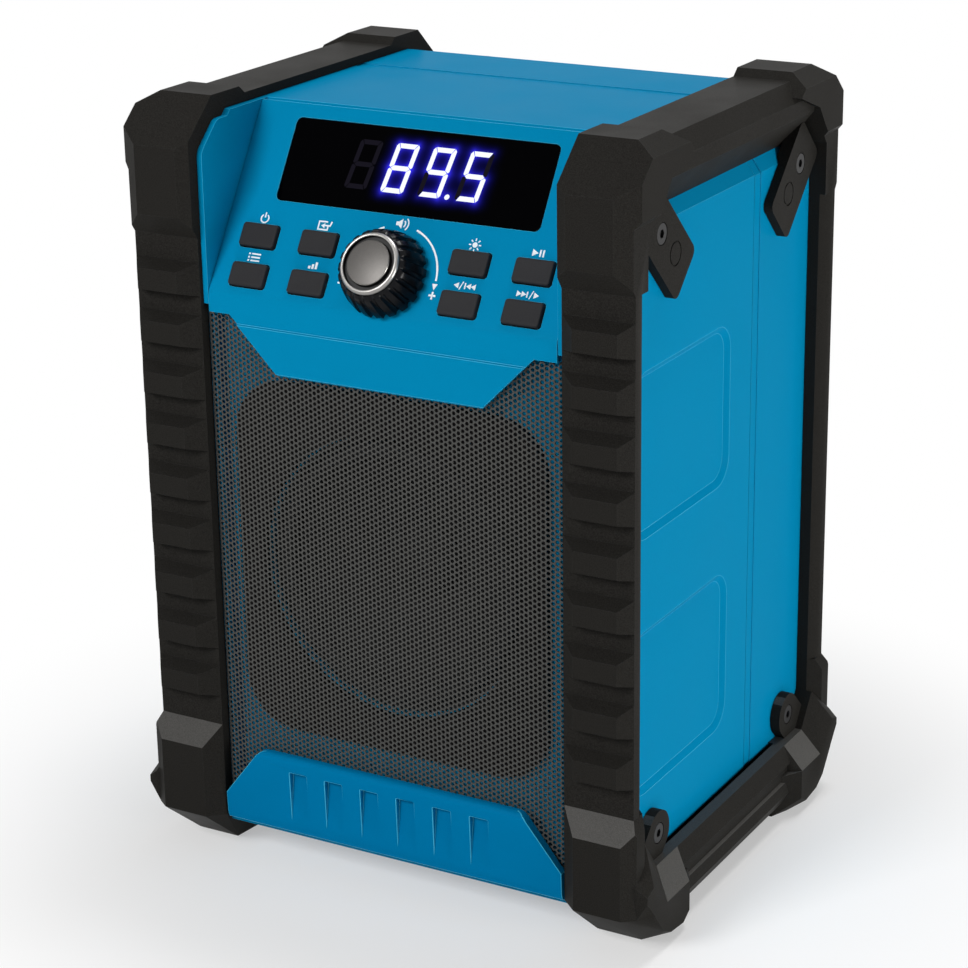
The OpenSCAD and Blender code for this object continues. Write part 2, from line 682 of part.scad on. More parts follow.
module spk_holes(r) {
  for (a = [45, 135, 225, 315]) translate([0, 0, spk_z]) rotate([0, a, 0]) bar_y(spk_screw_r, 0, r, 0, 60);
}

module turn_y(pts, n) {
  translate([0, 0, spk_z]) rotate([-90, 0, 0]) rotate_extrude($fn = n) polygon(pts);
}

module speaker_basket() {
  color([0.16, 0.16, 0.17]) seat() difference() {
    turn_y([[hole_r - 1, flange_y], [speaker_r, flange_y], [speaker_r, flange_y + 1.6], [hole_r + 0.6, flange_y + 1.6],
      [hole_r - 4, motor_y - 8.4], [34, motor_y], [15, motor_y], [15, motor_y - 1.6], [32, motor_y - 1.6],
      [hole_r - 6, motor_y - 9.4], [hole_r - 1, flange_y + 2.6]], 72);
    spk_holes(1.7);
    for (a = [0, 90, 180, 270]) translate([0, 0, spk_z]) rotate([0, a, 0]) translate([0, flange_y + 4, -11])
      cube([70, motor_y - 12 - flange_y, 22]);
  }
}

module speaker_screws() {
  color(steel) seat() for (a = [45, 135, 225, 315]) translate([0, 0, spk_z]) rotate([0, a, 0])
    screw_y(spk_screw_r, 0, flange_y + 1.6, 2.2, 1.5, 1.25, 4.6);
}

module speaker_magnet() {
  color([0.2, 0.2, 0.22]) seat() {
    turn_y([[coil_r + 0.7, motor_y], [35, motor_y], [35, motor_y + 4], [coil_r + 0.7, motor_y + 4]], 72);
    turn_y([[coil_r + 2, motor_y + 4], [37, motor_y + 4], [37, motor_y + 16], [coil_r + 2, motor_y + 16]], 72);
  }
}

module speaker_yoke() {
  color(steel) seat() turn_y([[0, motor_y + 0.4], [coil_r - 1, motor_y + 0.4], [coil_r - 1, motor_y + 16], [35, motor_y + 16],
    [35, motor_y + 20], [0, motor_y + 20]], 72);
}

module speaker_terminals() {
  color(brass) seat() translate([-4, motor_y - 1.6, spk_z + 35.7]) {
    cube([8, 1.6, 7]);
    translate([1, 1, 4.4]) cube([1.6, 6, 0.8]);
    translate([5.4, 1, 4.4]) cube([1.6, 6, 0.8]);
  }
}

module cone() {
  color([0.1, 0.1, 0.11]) seat() turn_y([[cone_r, flange_y + 0.4], [cone_r, flange_y + 1.1], [coil_r + 0.2, flange_y + 17],
    [coil_r + 0.2, flange_y + 16.2]], 72);
}

module dust_cap() {
  color([0.08, 0.08, 0.09]) seat() turn_y(concat([[0, flange_y + 10]], [[5, flange_y + 10.4], [9, flange_y + 11.8],
    [12, flange_y + 14], [coil_r + 0.2, flange_y + 15.6], [coil_r + 0.2, flange_y + 16.2], [11.6, flange_y + 14.6],
    [8.7, flange_y + 12.4], [4.8, flange_y + 11], [0, flange_y + 10.6]]), 48);
}

module voice_coil() {
  color([0.7, 0.4, 0.2]) seat() turn_y([[coil_r - 0.5, flange_y + 17], [coil_r + 0.2, flange_y + 17],
    [coil_r + 0.2, motor_y + 6], [coil_r - 0.5, motor_y + 6]], 48);
}

// Half roll between the cone and the flange
module cone_surround() {
  color(rubber) seat() turn_y(concat([[cone_r, flange_y + 0.4]],
    arc_pts((cone_r + hole_r - 2) / 2, flange_y - 0.2, (hole_r - 2 - cone_r) / 2 - 0.4, 180, 360, 8),
    [[hole_r - 1, flange_y - 0.2], [hole_r - 1, flange_y + 0.4], [hole_r - 2.6, flange_y + 0.4]],
    arc_pts((cone_r + hole_r - 2) / 2, flange_y - 0.2, (hole_r - 2 - cone_r) / 2 - 1, 360, 180, 8),
    [[cone_r, flange_y + 0.9]]), 72);
}

module spider() {
  color([0.75, 0.6, 0.3]) seat() turn_y([[coil_r + 0.2, motor_y - 6], [18, motor_y - 5], [22, motor_y - 6.6], [26, motor_y - 5],
    [30, motor_y - 6.4], [30, motor_y - 1.6], [29.6, motor_y - 1.6], [29.6, motor_y - 5.9], [26, motor_y - 4.6],
    [22, motor_y - 6.2], [18, motor_y - 4.6], [coil_r + 0.2, motor_y - 5.6]], 48);
}

// ---- electronics ----

module main_board() {
  color(green) seat() difference() {
    translate([-mb_hw, mb_y, mb_z0]) cube([2 * mb_hw, 1.6, mb_z1 - mb_z0]);
    for (x = [-mb_hw + 5, mb_hw - 5]) for (z = [mb_z0 + 5, mb_z1 - 5]) bar_y(x, z, 1.4, mb_y - 1, mb_y + 3);
  }
}

module board_screws() {
  color(steel) seat() for (x = [-mb_hw + 5, mb_hw - 5]) for (z = [mb_z0 + 5, mb_z1 - 5]) {
    bar_y(x, z, 2.4, mb_y - 1.6, mb_y);
    bar_y(x, z, 1.1, mb_y, mb_y + 7);
  }
}

module heat_sink() {
  color([0.5, 0.5, 0.52]) seat() translate([-10, mb_y - 18, mb_z1 - 44]) difference() {
    cube([34, 18, 32]);
    for (i = [0 : 4]) translate([2.4 + i * 6.4, -1, -1]) cube([3.6, 14, 40]);
  }
}

module tuner_can() {
  color(steel) seat() translate([-40, mb_y - 7, mb_z1 - 50]) cube([24, 7, 34]);
}

module capacitors() {
  color([0.1, 0.14, 0.3]) seat() for (p = [[-34, mb_z0 + 18], [-22, mb_z0 + 18], [-34, mb_z0 + 31]])
    bar_y(p[0], p[1], 4.4, mb_y - 14, mb_y);
}

module dc_socket() {
  color(coal) seat() difference() {
    union() {
      translate([sock_x - 18, mb_y + 1.6, sock_z - 5]) cube([10, sock_y - 2 - mb_y - 1.6, 10]);
      bar_y(sock_x - 13, sock_z, 4.7, sock_y - 2.2, sock_y + 0.6);
    }
    bar_y(sock_x - 13, sock_z, 3.1, mb_y + 5, yb1);
  }
  color(steel) seat() bar_y(sock_x - 13, sock_z, 1, mb_y + 4.8, sock_y - 0.6);
}

module aux_socket() {
  color(coal) seat() difference() {
    union() {
      translate([sock_x - 4.5, mb_y + 1.6, sock_z - 4.5]) cube([9, sock_y - 2 - mb_y - 1.6, 9]);
      bar_y(sock_x, sock_z, 3.4, sock_y - 2.2, sock_y + 0.6);
    }
    bar_y(sock_x, sock_z, 1.8, mb_y + 4, yb1);
  }
}

module usb_socket() {
  color(steel) seat() difference() {
    translate([sock_x + 7.6, mb_y + 1.6, sock_z - 3.3]) cube([12.8, sock_y + 0.4 - mb_y - 1.6, 6.6]);
    translate([sock_x + 8.1, mb_y + 5, sock_z - 2.8]) cube([11.8, 40, 5.6]);
  }
  color([0.9, 0.9, 0.9]) seat() translate([sock_x + 8.1, mb_y + 4.9, sock_z - 2.8]) cube([11.8, sock_y - 1 - mb_y - 5, 2]);
}

// ---- flap, door and latch ----

flap_y = yb1 - 1.2;
flap_z = sock_z + sock_hh + 1.9;

module socket_flap() {
  color(rubber) seat() difference() {
    union() {
      bar_x(flap_y, flap_z, 1.8, sock_x - sock_hw + gap, sock_x + sock_hw - gap);
      translate([sock_x - sock_hw + gap, yb1 - 2.4, sock_z - sock_hh + gap])
        cube([2 * sock_hw - 2 * gap, 2.4, flap_z - sock_z + sock_hh - gap]);
      // sealing ribs on the inside
      translate([sock_x - sock_hw + 3, yb1 - 4.4, sock_z - sock_hh + 3]) cube([2 * sock_hw - 6, 2.1, 2]);
      // finger pull
      translate([sock_x - 6, yb1 - 0.1, sock_z - sock_hh + 1]) cube([12, 1.3, 2.4]);
    }
    bar_x(flap_y, flap_z, 0.6, sock_x - sock_hw - 1, sock_x + sock_hw + 1);
  }
}

module battery_door() {
  color(teal) seat() difference() {
    union() {
      translate([-bay_hw - 2.4 + gap, door_y - 0.05, hinge_z])
        cube([2 * bay_hw + 4.8 - 2 * gap, yb1 - door_y + 0.05, bay_z1 + 2.4 - gap - hinge_z]);
      bar_x(hinge_y, hinge_z, 2, -bay_hw - 2.4 + gap, bay_hw + 2.4 - gap);
      bar_x(hinge_y, hinge_z, 1.2, -bay_hw - 3.8, bay_hw + 3.8);
      // stiffening ribs inside
      for (x = [-40, 40]) translate([x - 0.8, door_y - 1.6, hinge_z + 8]) cube([1.6, 2, 5]);
      for (x = [-40, 40]) translate([x - 4, door_y - 1.6, bay_z1 - 6]) cube([8, 2, 1.6]);
    }
    // thumb scoop along the top edge
    translate([-12, yb1 - 1, bay_z1 - 4]) cube([24, 2, 12]);
    // grip grooves on the outside
    for (i = [0 : 4]) translate([-26, yb1 - 0.8, hinge_z + 10 + i * 5]) cube([52, 2, 1.8]);
  }
}

cell_y = bay_y + 0.3 + cell_d / 2;
cell_e = cell_l + 1.5;

module cell(x, z, s) {
  translate([x, cell_y, z]) mirror([s, 0, 0]) rotate([0, 90, 0]) {
    cylinder(r = cell_d / 2 - 0.4, h = cell_l);
    translate([0, 0, 0.6]) cylinder(r = cell_d / 2, h = cell_l - 1.6);
    cylinder(r = 4.8, h = cell_e);
  }
}

module battery_cells() {
  color([0.75, 0.55, 0.2]) seat() {
    cell(-cell_e, row_z1, 0);
    cell(0.02, row_z1, 0);
    cell(cell_e, row_z2, 1);
    cell(-0.02, row_z2, 1);
  }
}

// Spring leaf at the flat end and pressed plate at the nib end of each row
module battery_contacts() {
  color(steel) seat() for (r = [[row_z1, 1], [row_z2, -1]]) {
    for (s = [-1, 1]) translate([s > 0 ? bay_hw - 0.5 : -bay_hw, cell_y - 10, r[0] - 11]) cube([0.5, 20, 22]);
    bar_x(cell_y, r[0], 4.4, r[1] > 0 ? cell_e + 0.1 : -bay_hw + 0.5, r[1] > 0 ? bay_hw - 0.5 : -cell_e - 0.1);
    translate([0, 0, r[0] - 4]) linear_extrude(8) polygon([for (p = [[bay_hw - 0.5, cell_y - 8],
      [cell_e + 0.1, cell_y - 1], [cell_e + 0.1, cell_y + 1], [bay_hw - 0.5, cell_y + 8],
      [bay_hw - 0.5, cell_y + 7.2], [cell_e + 0.6, cell_y + 0.6], [cell_e + 0.6, cell_y - 0.6],
      [bay_hw - 0.5, cell_y - 7.2]]) [-r[1] * p[0], p[1]]]);
  }
}

// ---- antenna ----

tube_z = ant_z + 7;
mast_w = 0.4;
slip = 0.3;
mid_r = mast_r - mast_w - slip;
tip_r = mid_r - mast_w - slip;
mast_top = tube_z + mast_l;

module antenna_base() {
  color(steel) seat() difference() {
    union() {
      bar_y(ant_x, ant_z, 6, yb1 + gap, yb1 + 1.6);
      bar_y(ant_x, ant_z, 2, yb1 - 6, yb1 + 1);
      for (s = [-1, 1]) translate([ant_x + s * 3.05 - 0.65, yb1 + 1, ant_z - 2.6]) cube([1.3, 6.4, 5.2]);
    }
    bar_x(ant_y, ant_z, 0.9, ant_x - 9, ant_x + 9);
    bar_y(ant_x, ant_z, 0.8, yb1 - 9, yb1 - 2);
  }
}

module antenna_screw() {
  color(steel) seat() {
    bar_y(ant_x, ant_z, 3.4, yb1 - 7.4, yb1 - 6);
    bar_y(ant_x, ant_z, 0.8, yb1 - 6.1, yb1 - 2);
  }
}

// Pivot pin, tongue and ferrule
module antenna_knuckle() {
  color(steel) seat() {
    bar_x(ant_y, ant_z, 0.85, ant_x - 3.7, ant_x + 3.7);
    bar_x(ant_y, ant_z, 2.1, ant_x - 2.05, ant_x + 2.05);
    translate([ant_x - 2.05, ant_y - 1.6, ant_z]) cube([4.1, 3.2, 5]);
    translate([ant_x, ant_y, ant_z + 4.6]) cylinder(r = mast_r, h = 2.4);
  }
}

module antenna_tube() {
  color(steel) seat() translate([ant_x, ant_y, tube_z]) difference() {
    cylinder(r = mast_r, h = mast_top - tube_z);
    translate([0, 0, -1]) cylinder(r = mast_r - mast_w, h = 300);
  }
}

module antenna_mid() {
  color(steel) seat() translate([ant_x, ant_y, tube_z + 0.5]) difference() {
    cylinder(r = mid_r, h = mast_top - tube_z + 0.4);
    translate([0, 0, -1]) cylinder(r = mid_r - mast_w, h = 300);
  }
}

module antenna_tip() {
  color(steel) seat() translate([ant_x, ant_y, tube_z + 1]) {
    cylinder(r = tip_r, h = mast_top - tube_z + 1);
    translate([0, 0, mast_top - tube_z + 0.4]) cylinder(r = mast_r - 0.4, h = 3.6);
  }
}

front_housing();
rear_housing();
housing_gasket();
housing_screws();
side_frame_left();
side_frame_right();
frame_screws();
rubber_feet();
control_panel();
grille();
speaker_bezel();
skirt();
display_lens();
display_module();
control_board();
contact_pads();
control_screws();
encoder_body();
encoder_shaft();
knob();
knob_cap();
button_power();
button_source();
button_preset();
button_memory();
button_light();
button_play();
button_back();
button_next();
speaker_gasket();
speaker_basket();
speaker_screws();
speaker_magnet();
speaker_yoke();
speaker_terminals();
cone();
dust_cap();
voice_coil();
cone_surround();
spider();
main_board();
board_screws();
heat_sink();
tuner_can();
capacitors();
dc_socket();
aux_socket();
usb_socket();
socket_flap();
battery_door();
battery_cells();
battery_contacts();
antenna_base();
antenna_knuckle();
antenna_tube();
antenna_mid();
antenna_tip();
antenna_screw();
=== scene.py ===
import json

import bmesh
import bpy
import numpy as np
from mathutils import Matrix, Vector


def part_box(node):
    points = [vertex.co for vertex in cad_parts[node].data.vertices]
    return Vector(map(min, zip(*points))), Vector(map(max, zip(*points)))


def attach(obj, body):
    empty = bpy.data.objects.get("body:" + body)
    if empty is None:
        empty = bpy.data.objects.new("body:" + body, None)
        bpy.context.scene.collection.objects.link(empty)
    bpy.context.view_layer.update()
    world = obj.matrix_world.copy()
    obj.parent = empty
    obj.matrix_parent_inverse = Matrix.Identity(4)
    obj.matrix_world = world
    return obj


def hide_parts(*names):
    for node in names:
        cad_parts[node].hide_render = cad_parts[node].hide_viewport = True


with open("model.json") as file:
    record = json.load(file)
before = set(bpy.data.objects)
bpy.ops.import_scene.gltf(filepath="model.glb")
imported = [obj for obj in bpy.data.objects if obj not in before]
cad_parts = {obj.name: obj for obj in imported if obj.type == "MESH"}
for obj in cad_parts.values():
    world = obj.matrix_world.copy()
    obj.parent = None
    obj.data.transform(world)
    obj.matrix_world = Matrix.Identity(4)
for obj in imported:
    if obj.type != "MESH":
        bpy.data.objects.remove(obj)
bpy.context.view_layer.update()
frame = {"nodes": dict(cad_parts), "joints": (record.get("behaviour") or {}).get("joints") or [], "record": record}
nodes = frame["nodes"]
joints = {joint["name"]: joint for joint in frame["joints"]}
bodyOf = {node: body for body, group in frame["record"]["behaviour"]["bodies"].items() for node in group}
mm = 0.001
print("frame loaded,", len(nodes), "nodes")


# places on the sloping panel are measured from the knob's seat

knobSeat = np.array(joints["knob_turn"]["pos_m"]) / mm
panelOut = np.array(joints["knob_turn"]["axis"])
panelUp = np.array([0, panelOut[2], -panelOut[1]])
across = np.array([1.0, 0.0, 0.0])


def onPanel(u, v, w):
    # u across, v up the slope and w straight out, in mm: seat + u across + v up + w out
    u, v, w = np.broadcast_arrays(np.asarray(u, float), v, w)
    return knobSeat + u[..., None] * across + v[..., None] * panelUp + w[..., None] * panelOut


def meshPoints(node):
    flat = np.empty(len(nodes[node].data.vertices) * 3, np.float32)
    nodes[node].data.vertices.foreach_get("co", flat)
    return flat.reshape(-1, 3).astype(float) / mm


def panelBox(node):
    # lowest and highest (u, v, w) of a node
    local = (meshPoints(node) - knobSeat) @ np.stack([across, panelUp, panelOut]).T
    return local.min(0), local.max(0)


# helpers that make the pieces

def finish(piece, body, replaced=()):
    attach(piece, body)
    if replaced:
        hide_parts(*replaced)
    return piece


def makePiece(name, points, faces, materials, body, replaced=(), faceSlots=None, sharp=35):
    # points in mm, faces as index rows; edges sharper than the angle stay crisp
    mesh = bpy.data.meshes.new(name)
    mesh.from_pydata((np.asarray(points, float) * mm).tolist(), [], [list(face) for face in faces])
    for material in materials:
        mesh.materials.append(material)
    if faceSlots is not None:
        mesh.polygons.foreach_set("material_index", np.asarray(faceSlots, np.int32))
    mesh.shade_smooth()
    mesh.set_sharp_from_angle(angle=np.radians(sharp))
    mesh.update()
    piece = bpy.data.objects.new(name, mesh)
    bpy.context.scene.collection.objects.link(piece)
    return finish(piece, body, replaced)


def ringFaces(rings, perRing):
    # quads between closed rings that follow each other, then a fan at each end to its own pole point
    ring, step = np.meshgrid(np.arange(rings - 1), np.arange(perRing), indexing="ij")
    after = (step + 1) % perRing
    quads = np.stack([ring * perRing + step, ring * perRing + after,
                      (ring + 1) * perRing + after, (ring + 1) * perRing + step], -1).reshape(-1, 4)
    step = np.arange(perRing)
    after = (step + 1) % perRing
    low = np.stack([after, step, np.full(perRing, rings * perRing)], -1)
    last = (rings - 1) * perRing
    high = np.stack([last + step, last + after, np.full(perRing, rings * perRing + 1)], -1)
    return quads.tolist() + low.tolist() + high.tolist()


def roundedLoop(halfWide, halfHigh, radius, perCorner):
    # rectangle with quarter circles: (sx (a - r) + r cos t, sy (b - r) + r sin t), anticlockwise
    t = (np.arange(4)[:, None] + np.linspace(0, 1, perCorner)[None, :]) * np.pi / 2
    sx = np.array([1, -1, -1, 1])[:, None]
    sy = np.array([1, 1, -1, -1])[:, None]
    x = sx * (halfWide - radius) + radius * np.cos(t)
    y = sy * (halfHigh - radius) + radius * np.sin(t)
    return x.ravel(), y.ravel()


def loftOnPanel(name, centre, sections, materials, body, replaced=(), perCorner=7, slotOf=None):
    # sections (half width, half height, corner radius, w) are joined from the lowest to the highest
    loops = [roundedLoop(a, b, r, perCorner) for a, b, r, _ in sections]
    points = np.concatenate([onPanel(centre[0] + x, centre[1] + y, section[3])
                             for (x, y), section in zip(loops, sections)])
    poles = onPanel(np.full(2, centre[0]), centre[1], np.array([sections[0][3], sections[-1][3]]))
    faces = ringFaces(len(sections), 4 * perCorner)
    return makePiece(name, np.concatenate([points, poles]), faces, materials, body, replaced,
                     slotOf and [slotOf(face, 4 * perCorner) for face in faces])


def softened(node, width, material, edge=None, paintedHighlight=None, isPaintedHighlight=None, segments=2, angle=28):
    # copy of a CAD node with its flat triangles joined and its crisp edges rounded; the rounding can
    # take a material of its own, a lighter colour on the shells as a painted highlight, and so can the
    # facets that the picking test (centres in mm, normals) picks, which on the frames carry a painted highlight
    mesh = bpy.data.meshes.new(node + "_soft")
    work = bmesh.new()
    work.from_mesh(nodes[node].data)
    bmesh.ops.remove_doubles(work, verts=work.verts, dist=1e-6)
    bmesh.ops.dissolve_limit(work, angle_limit=np.radians(0.6), verts=work.verts, edges=work.edges)
    work.to_mesh(mesh)
    work.free()
    if "custom_normal" in mesh.attributes:
        mesh.attributes.remove(mesh.attributes["custom_normal"])
    mesh.materials.clear()
    for each in (material, edge or material, paintedHighlight or material):
        mesh.materials.append(each)
    if isPaintedHighlight is not None:
        count = len(mesh.polygons)
        centres, normals = np.empty(count * 3, np.float32), np.empty(count * 3, np.float32)
        mesh.polygons.foreach_get("center", centres)
        mesh.polygons.foreach_get("normal", normals)
        picked = isPaintedHighlight(centres.reshape(-1, 3) / mm, normals.reshape(-1, 3))
        mesh.polygons.foreach_set("material_index", np.where(picked, 2, 0).astype(np.int32))
    mesh.shade_smooth()
    mesh.set_sharp_from_angle(angle=np.radians(angle))
    piece = bpy.data.objects.new(node + "_soft", mesh)
    bpy.context.scene.collection.objects.link(piece)
    bevel = piece.modifiers.new("edges", "BEVEL")
    bevel.width = width * mm
    bevel.segments = segments
    bevel.limit_method = "ANGLE"
    bevel.angle_limit = np.radians(angle)
    bevel.use_clamp_overlap = True
    bevel.miter_outer = "MITER_ARC"
    bevel.harden_normals = True
    bevel.material = 1
    return finish(piece, bodyOf[node], (node,))


# materials

def linear(r, g, b):
    # screen colour 0 to 255 as linear light
    c = np.array([r, g, b]) / 255
    return tuple(np.where(c <= 0.04045, c / 12.92, ((c + 0.055) / 1.055) ** 2.4).tolist()) + (1.0,)


def addNode(tree, kind, inputs=(), **settings):
    node = tree.nodes.new("ShaderNode" + kind)
    for field, value in settings.items():
        setattr(node, field, value)
    for socket, value in dict(inputs).items():
        if isinstance(value, bpy.types.NodeSocket):
            tree.links.new(value, node.inputs[socket])
        else:
            node.inputs[socket].default_value = value
    return node


def emptyMaterial(name, colour, roughness, metallic=0.0, specular=0.5):
    material = bpy.data.materials.new(name)
    material.use_nodes = True
    shader = material.node_tree.nodes["Principled BSDF"]
    shader.inputs["Base Color"].default_value = colour
    shader.inputs["Roughness"].default_value = roughness
    shader.inputs["Metallic"].default_value = metallic
    shader.inputs["Specular IOR Level"].default_value = specular
    return material, material.node_tree, shader


def noiseOn(tree, perMm, detail=3.0, stretch=(1, 1, 1)):
    # noise on Object coordinates with perMm blobs to a millimetre
    place = addNode(tree, "TexCoord")
    mapping = addNode(tree, "Mapping", {"Vector": place.outputs["Object"], "Scale": stretch})
    return addNode(tree, "TexNoise", {"Vector": mapping.outputs["Vector"], "Scale": perMm / mm,
                                      "Detail": detail})


def spread(tree, value, low, high, start=0.3, end=0.7):
    return addNode(tree, "MapRange", {"Value": value, "From Min": start, "From Max": end,
                                      "To Min": low, "To Max": high}).outputs["Result"]


def tint(tree, factor, colourA, colourB):
    mix = addNode(tree, "Mix", data_type="RGBA")
    tree.links.new(factor, mix.inputs[0])
    mix.inputs[6].default_value = colourA
    mix.inputs[7].default_value = colourB
    return mix.outputs[2]


def shaded(colour, factor):
    return tuple(min(1.0, c * factor) for c in colour[:3]) + (1.0,)


def grained(name, colour, roughness, grain, height, metallic=0.0, specular=0.5, speckle=0.06,
            stretch=(1, 1, 1)):
    # moulded or cast surface: fine grain in its height and colour, and slow changes of gloss
    material, tree, shader = emptyMaterial(name, colour, roughness, metallic, specular)
    fine = noiseOn(tree, grain, 3.0, stretch)
    slow = noiseOn(tree, 0.04, 2.0)
    toned = tint(tree, spread(tree, fine.outputs["Fac"], 0, 1),
                 shaded(colour, 1 - speckle), shaded(colour, 1 + speckle))
    tree.links.new(toned, shader.inputs["Base Color"])
    gloss = spread(tree, slow.outputs["Fac"], roughness * 0.9, min(1.0, roughness * 1.12))
    tree.links.new(gloss, shader.inputs["Roughness"])
    bump = addNode(tree, "Bump", {"Height": fine.outputs["Fac"], "Strength": 0.6, "Distance": height * mm})
    tree.links.new(bump.outputs["Normal"], shader.inputs["Normal"])
    return material


# the skirt's blue is a darker copy of the body blue: painted shade for the low part of the body
finishes = {
    "blue": linear(2, 128, 173), "skirt": linear(0, 114, 164), "coal": linear(36, 35, 33),
    "rubber": linear(32, 32, 34), "key": linear(42, 42, 44),
}

bodyBlue = grained("body_blue", finishes["blue"], 0.34, 2.2, 0.004, specular=0.004, speckle=0.02)
# painted shade: a darker blue for the skirt
skirtBlueShaded = grained("skirt_blue_shaded", finishes["skirt"], 0.34, 2.2, 0.004, specular=0.004, speckle=0.02)
# painted highlight: a lighter blue for the rounded edges of the blue shells
blueEdgeHighlight = grained("blue_edge_highlight", linear(62, 172, 208), 0.28, 2.2, 0.004, specular=0.12, speckle=0.02)
frameBlack = grained("frame_black", finishes["coal"], 0.4, 3.2, 0.025, specular=0.012, speckle=0.4)
# painted highlight: a lighter grey for the frames' rounded edges
frameEdgeHighlight = grained("frame_edge_highlight", linear(54, 54, 54), 0.34, 3.2, 0.02, specular=0.1, speckle=0.3)
# painted highlight: a lighter grey for the frames' upward-facing foot and rail facets, standing in for light
# caught there
framePaintedHighlight = grained("frame_painted_highlight", linear(74, 73, 71), 0.4, 3.0, 0.03, specular=0.05, speckle=0.22)
keyRubber = grained("key_rubber", finishes["key"], 0.5, 3.0, 0.02, specular=0.06, speckle=0.08)
softRubber = grained("soft_rubber", finishes["rubber"], 0.7, 2.0, 0.02, specular=0.15, speckle=0.1)
bezelBlack = grained("bezel_black", linear(12, 12, 13), 0.6, 2.0, 0.02, specular=0.15, speckle=0.15)
knobPlastic = grained("knob_plastic", linear(8, 9, 12), 0.22, 2.5, 0.01, specular=0.12, speckle=0.12)
capMetal = grained("cap_metal", linear(80, 78, 76), 0.42, 5.0, 0.012, metallic=0.85, speckle=0.16)
rimMetal = grained("rim_metal", linear(150, 148, 145), 0.3, 3.0, 0.004, metallic=0.95, speckle=0.05)
grooveBlack = grained("groove_black", linear(8, 8, 9), 0.5, 2.0, 0.01, specular=0.3)
meshPaint = grained("mesh_paint", linear(72, 72, 70), 0.4, 4.0, 0.01, specular=0.12, speckle=0.14)
steel = grained("plain_steel", linear(165, 165, 168), 0.32, 1.2, 0.004, metallic=1.0, speckle=0.05)
blackSteel = grained("black_steel", linear(20, 20, 21), 0.34, 2.0, 0.006, specular=0.2, speckle=0.15)
chrome = grained("antenna_chrome", linear(205, 206, 208), 0.14, 0.6, 0.002, metallic=1.0, speckle=0.03,
                 stretch=(1, 1, 0.05))
turnedAluminium = grained("turned_aluminium", linear(180, 181, 184), 0.3, 2.0, 0.004, metallic=1.0,
                          speckle=0.05, stretch=(0.2, 1, 1))
brass = grained("plated_brass", linear(205, 170, 95), 0.3, 1.5, 0.004, metallic=1.0, speckle=0.06)
tinPlate = grained("tin_plate", linear(190, 191, 192), 0.28, 0.25, 0.004, metallic=1.0, speckle=0.08)
ferrite = grained("ferrite", linear(50, 50, 54), 0.6, 1.4, 0.03, specular=0.4, speckle=0.2)
paintedBasket = grained("basket_paint", linear(34, 34, 36), 0.45, 1.6, 0.02, specular=0.5, speckle=0.12)
conePaper = grained("cone_paper", linear(30, 30, 31), 0.8, 0.9, 0.08, specular=0.2, speckle=0.3)
foam = grained("gasket_foam", linear(38, 38, 40), 0.9, 1.1, 0.12, specular=0.15, speckle=0.35)
darkPlastic = grained("dark_plastic", linear(34, 34, 36), 0.5, 2.4, 0.015, specular=0.4, speckle=0.1)
print("plain finishes made")


def lensMaterial():
    # polished smoked sheet with the faintest ripple
    material, tree, shader = emptyMaterial("smoked_lens", linear(1, 1, 2), 0.07, specular=0.01)
    ripple = noiseOn(tree, 0.05, 1.0)
    gloss = spread(tree, ripple.outputs["Fac"], 0.05, 0.1)
    tree.links.new(gloss, shader.inputs["Roughness"])
    return material


def boardMaterial(name):
    # solder mask over copper tracks: two crossed sets of narrow bands, broken up by noise, with small pads
    material, tree, shader = emptyMaterial(name, linear(12, 84, 46), 0.4)
    place = addNode(tree, "TexCoord")
    bands = []
    for direction in ("X", "Z"):
        wave = addNode(tree, "TexWave", {"Vector": place.outputs["Object"], "Scale": 120.0,
                                         "Distortion": 1.5, "Detail": 1.0, "Detail Scale": 4.0},
                       wave_type="BANDS", bands_direction=direction, wave_profile="TRI")
        bands.append(spread(tree, wave.outputs["Fac"], 0, 1, 0.78, 0.84))
    patches = noiseOn(tree, 0.09, 0.0)
    choose = spread(tree, patches.outputs["Fac"], 0, 1, 0.49, 0.51)
    tracks = addNode(tree, "Mix", {0: choose, 2: bands[0], 3: bands[1]}).outputs[0]
    cells = addNode(tree, "TexVoronoi", {"Vector": place.outputs["Object"], "Scale": 260.0})
    pads = spread(tree, cells.outputs["Distance"], 1, 0, 0.16, 0.19)
    masked = tint(tree, tracks, linear(12, 84, 46), linear(32, 118, 66))
    padded = addNode(tree, "Mix", data_type="RGBA")
    tree.links.new(pads, padded.inputs[0])
    tree.links.new(masked, padded.inputs[6])
    padded.inputs[7].default_value = linear(196, 190, 170)
    tree.links.new(padded.outputs[2], shader.inputs["Base Color"])
    bump = addNode(tree, "Bump", {"Height": tracks, "Strength": 0.5, "Distance": 0.04 * mm})
    tree.links.new(bump.outputs["Normal"], shader.inputs["Normal"])
    return material


def clothMaterial():
    # resin-soaked weave: two crossed waves of threads
    material, tree, shader = emptyMaterial("spider_cloth", linear(176, 140, 66), 0.75, specular=0.2)
    place = addNode(tree, "TexCoord")
    threads = [addNode(tree, "TexWave", {"Vector": place.outputs["Object"], "Scale": 700.0},
                       wave_type="BANDS", bands_direction=direction).outputs["Fac"]
               for direction in ("X", "Z")]
    woven = addNode(tree, "Math", {0: threads[0], 1: threads[1]}, operation="MULTIPLY").outputs["Value"]
    toned = tint(tree, woven, linear(150, 112, 46), linear(206, 172, 98))
    tree.links.new(toned, shader.inputs["Base Color"])
    bump = addNode(tree, "Bump", {"Height": woven, "Strength": 0.8, "Distance": 0.15 * mm})
    tree.links.new(bump.outputs["Normal"], shader.inputs["Normal"])
    return material


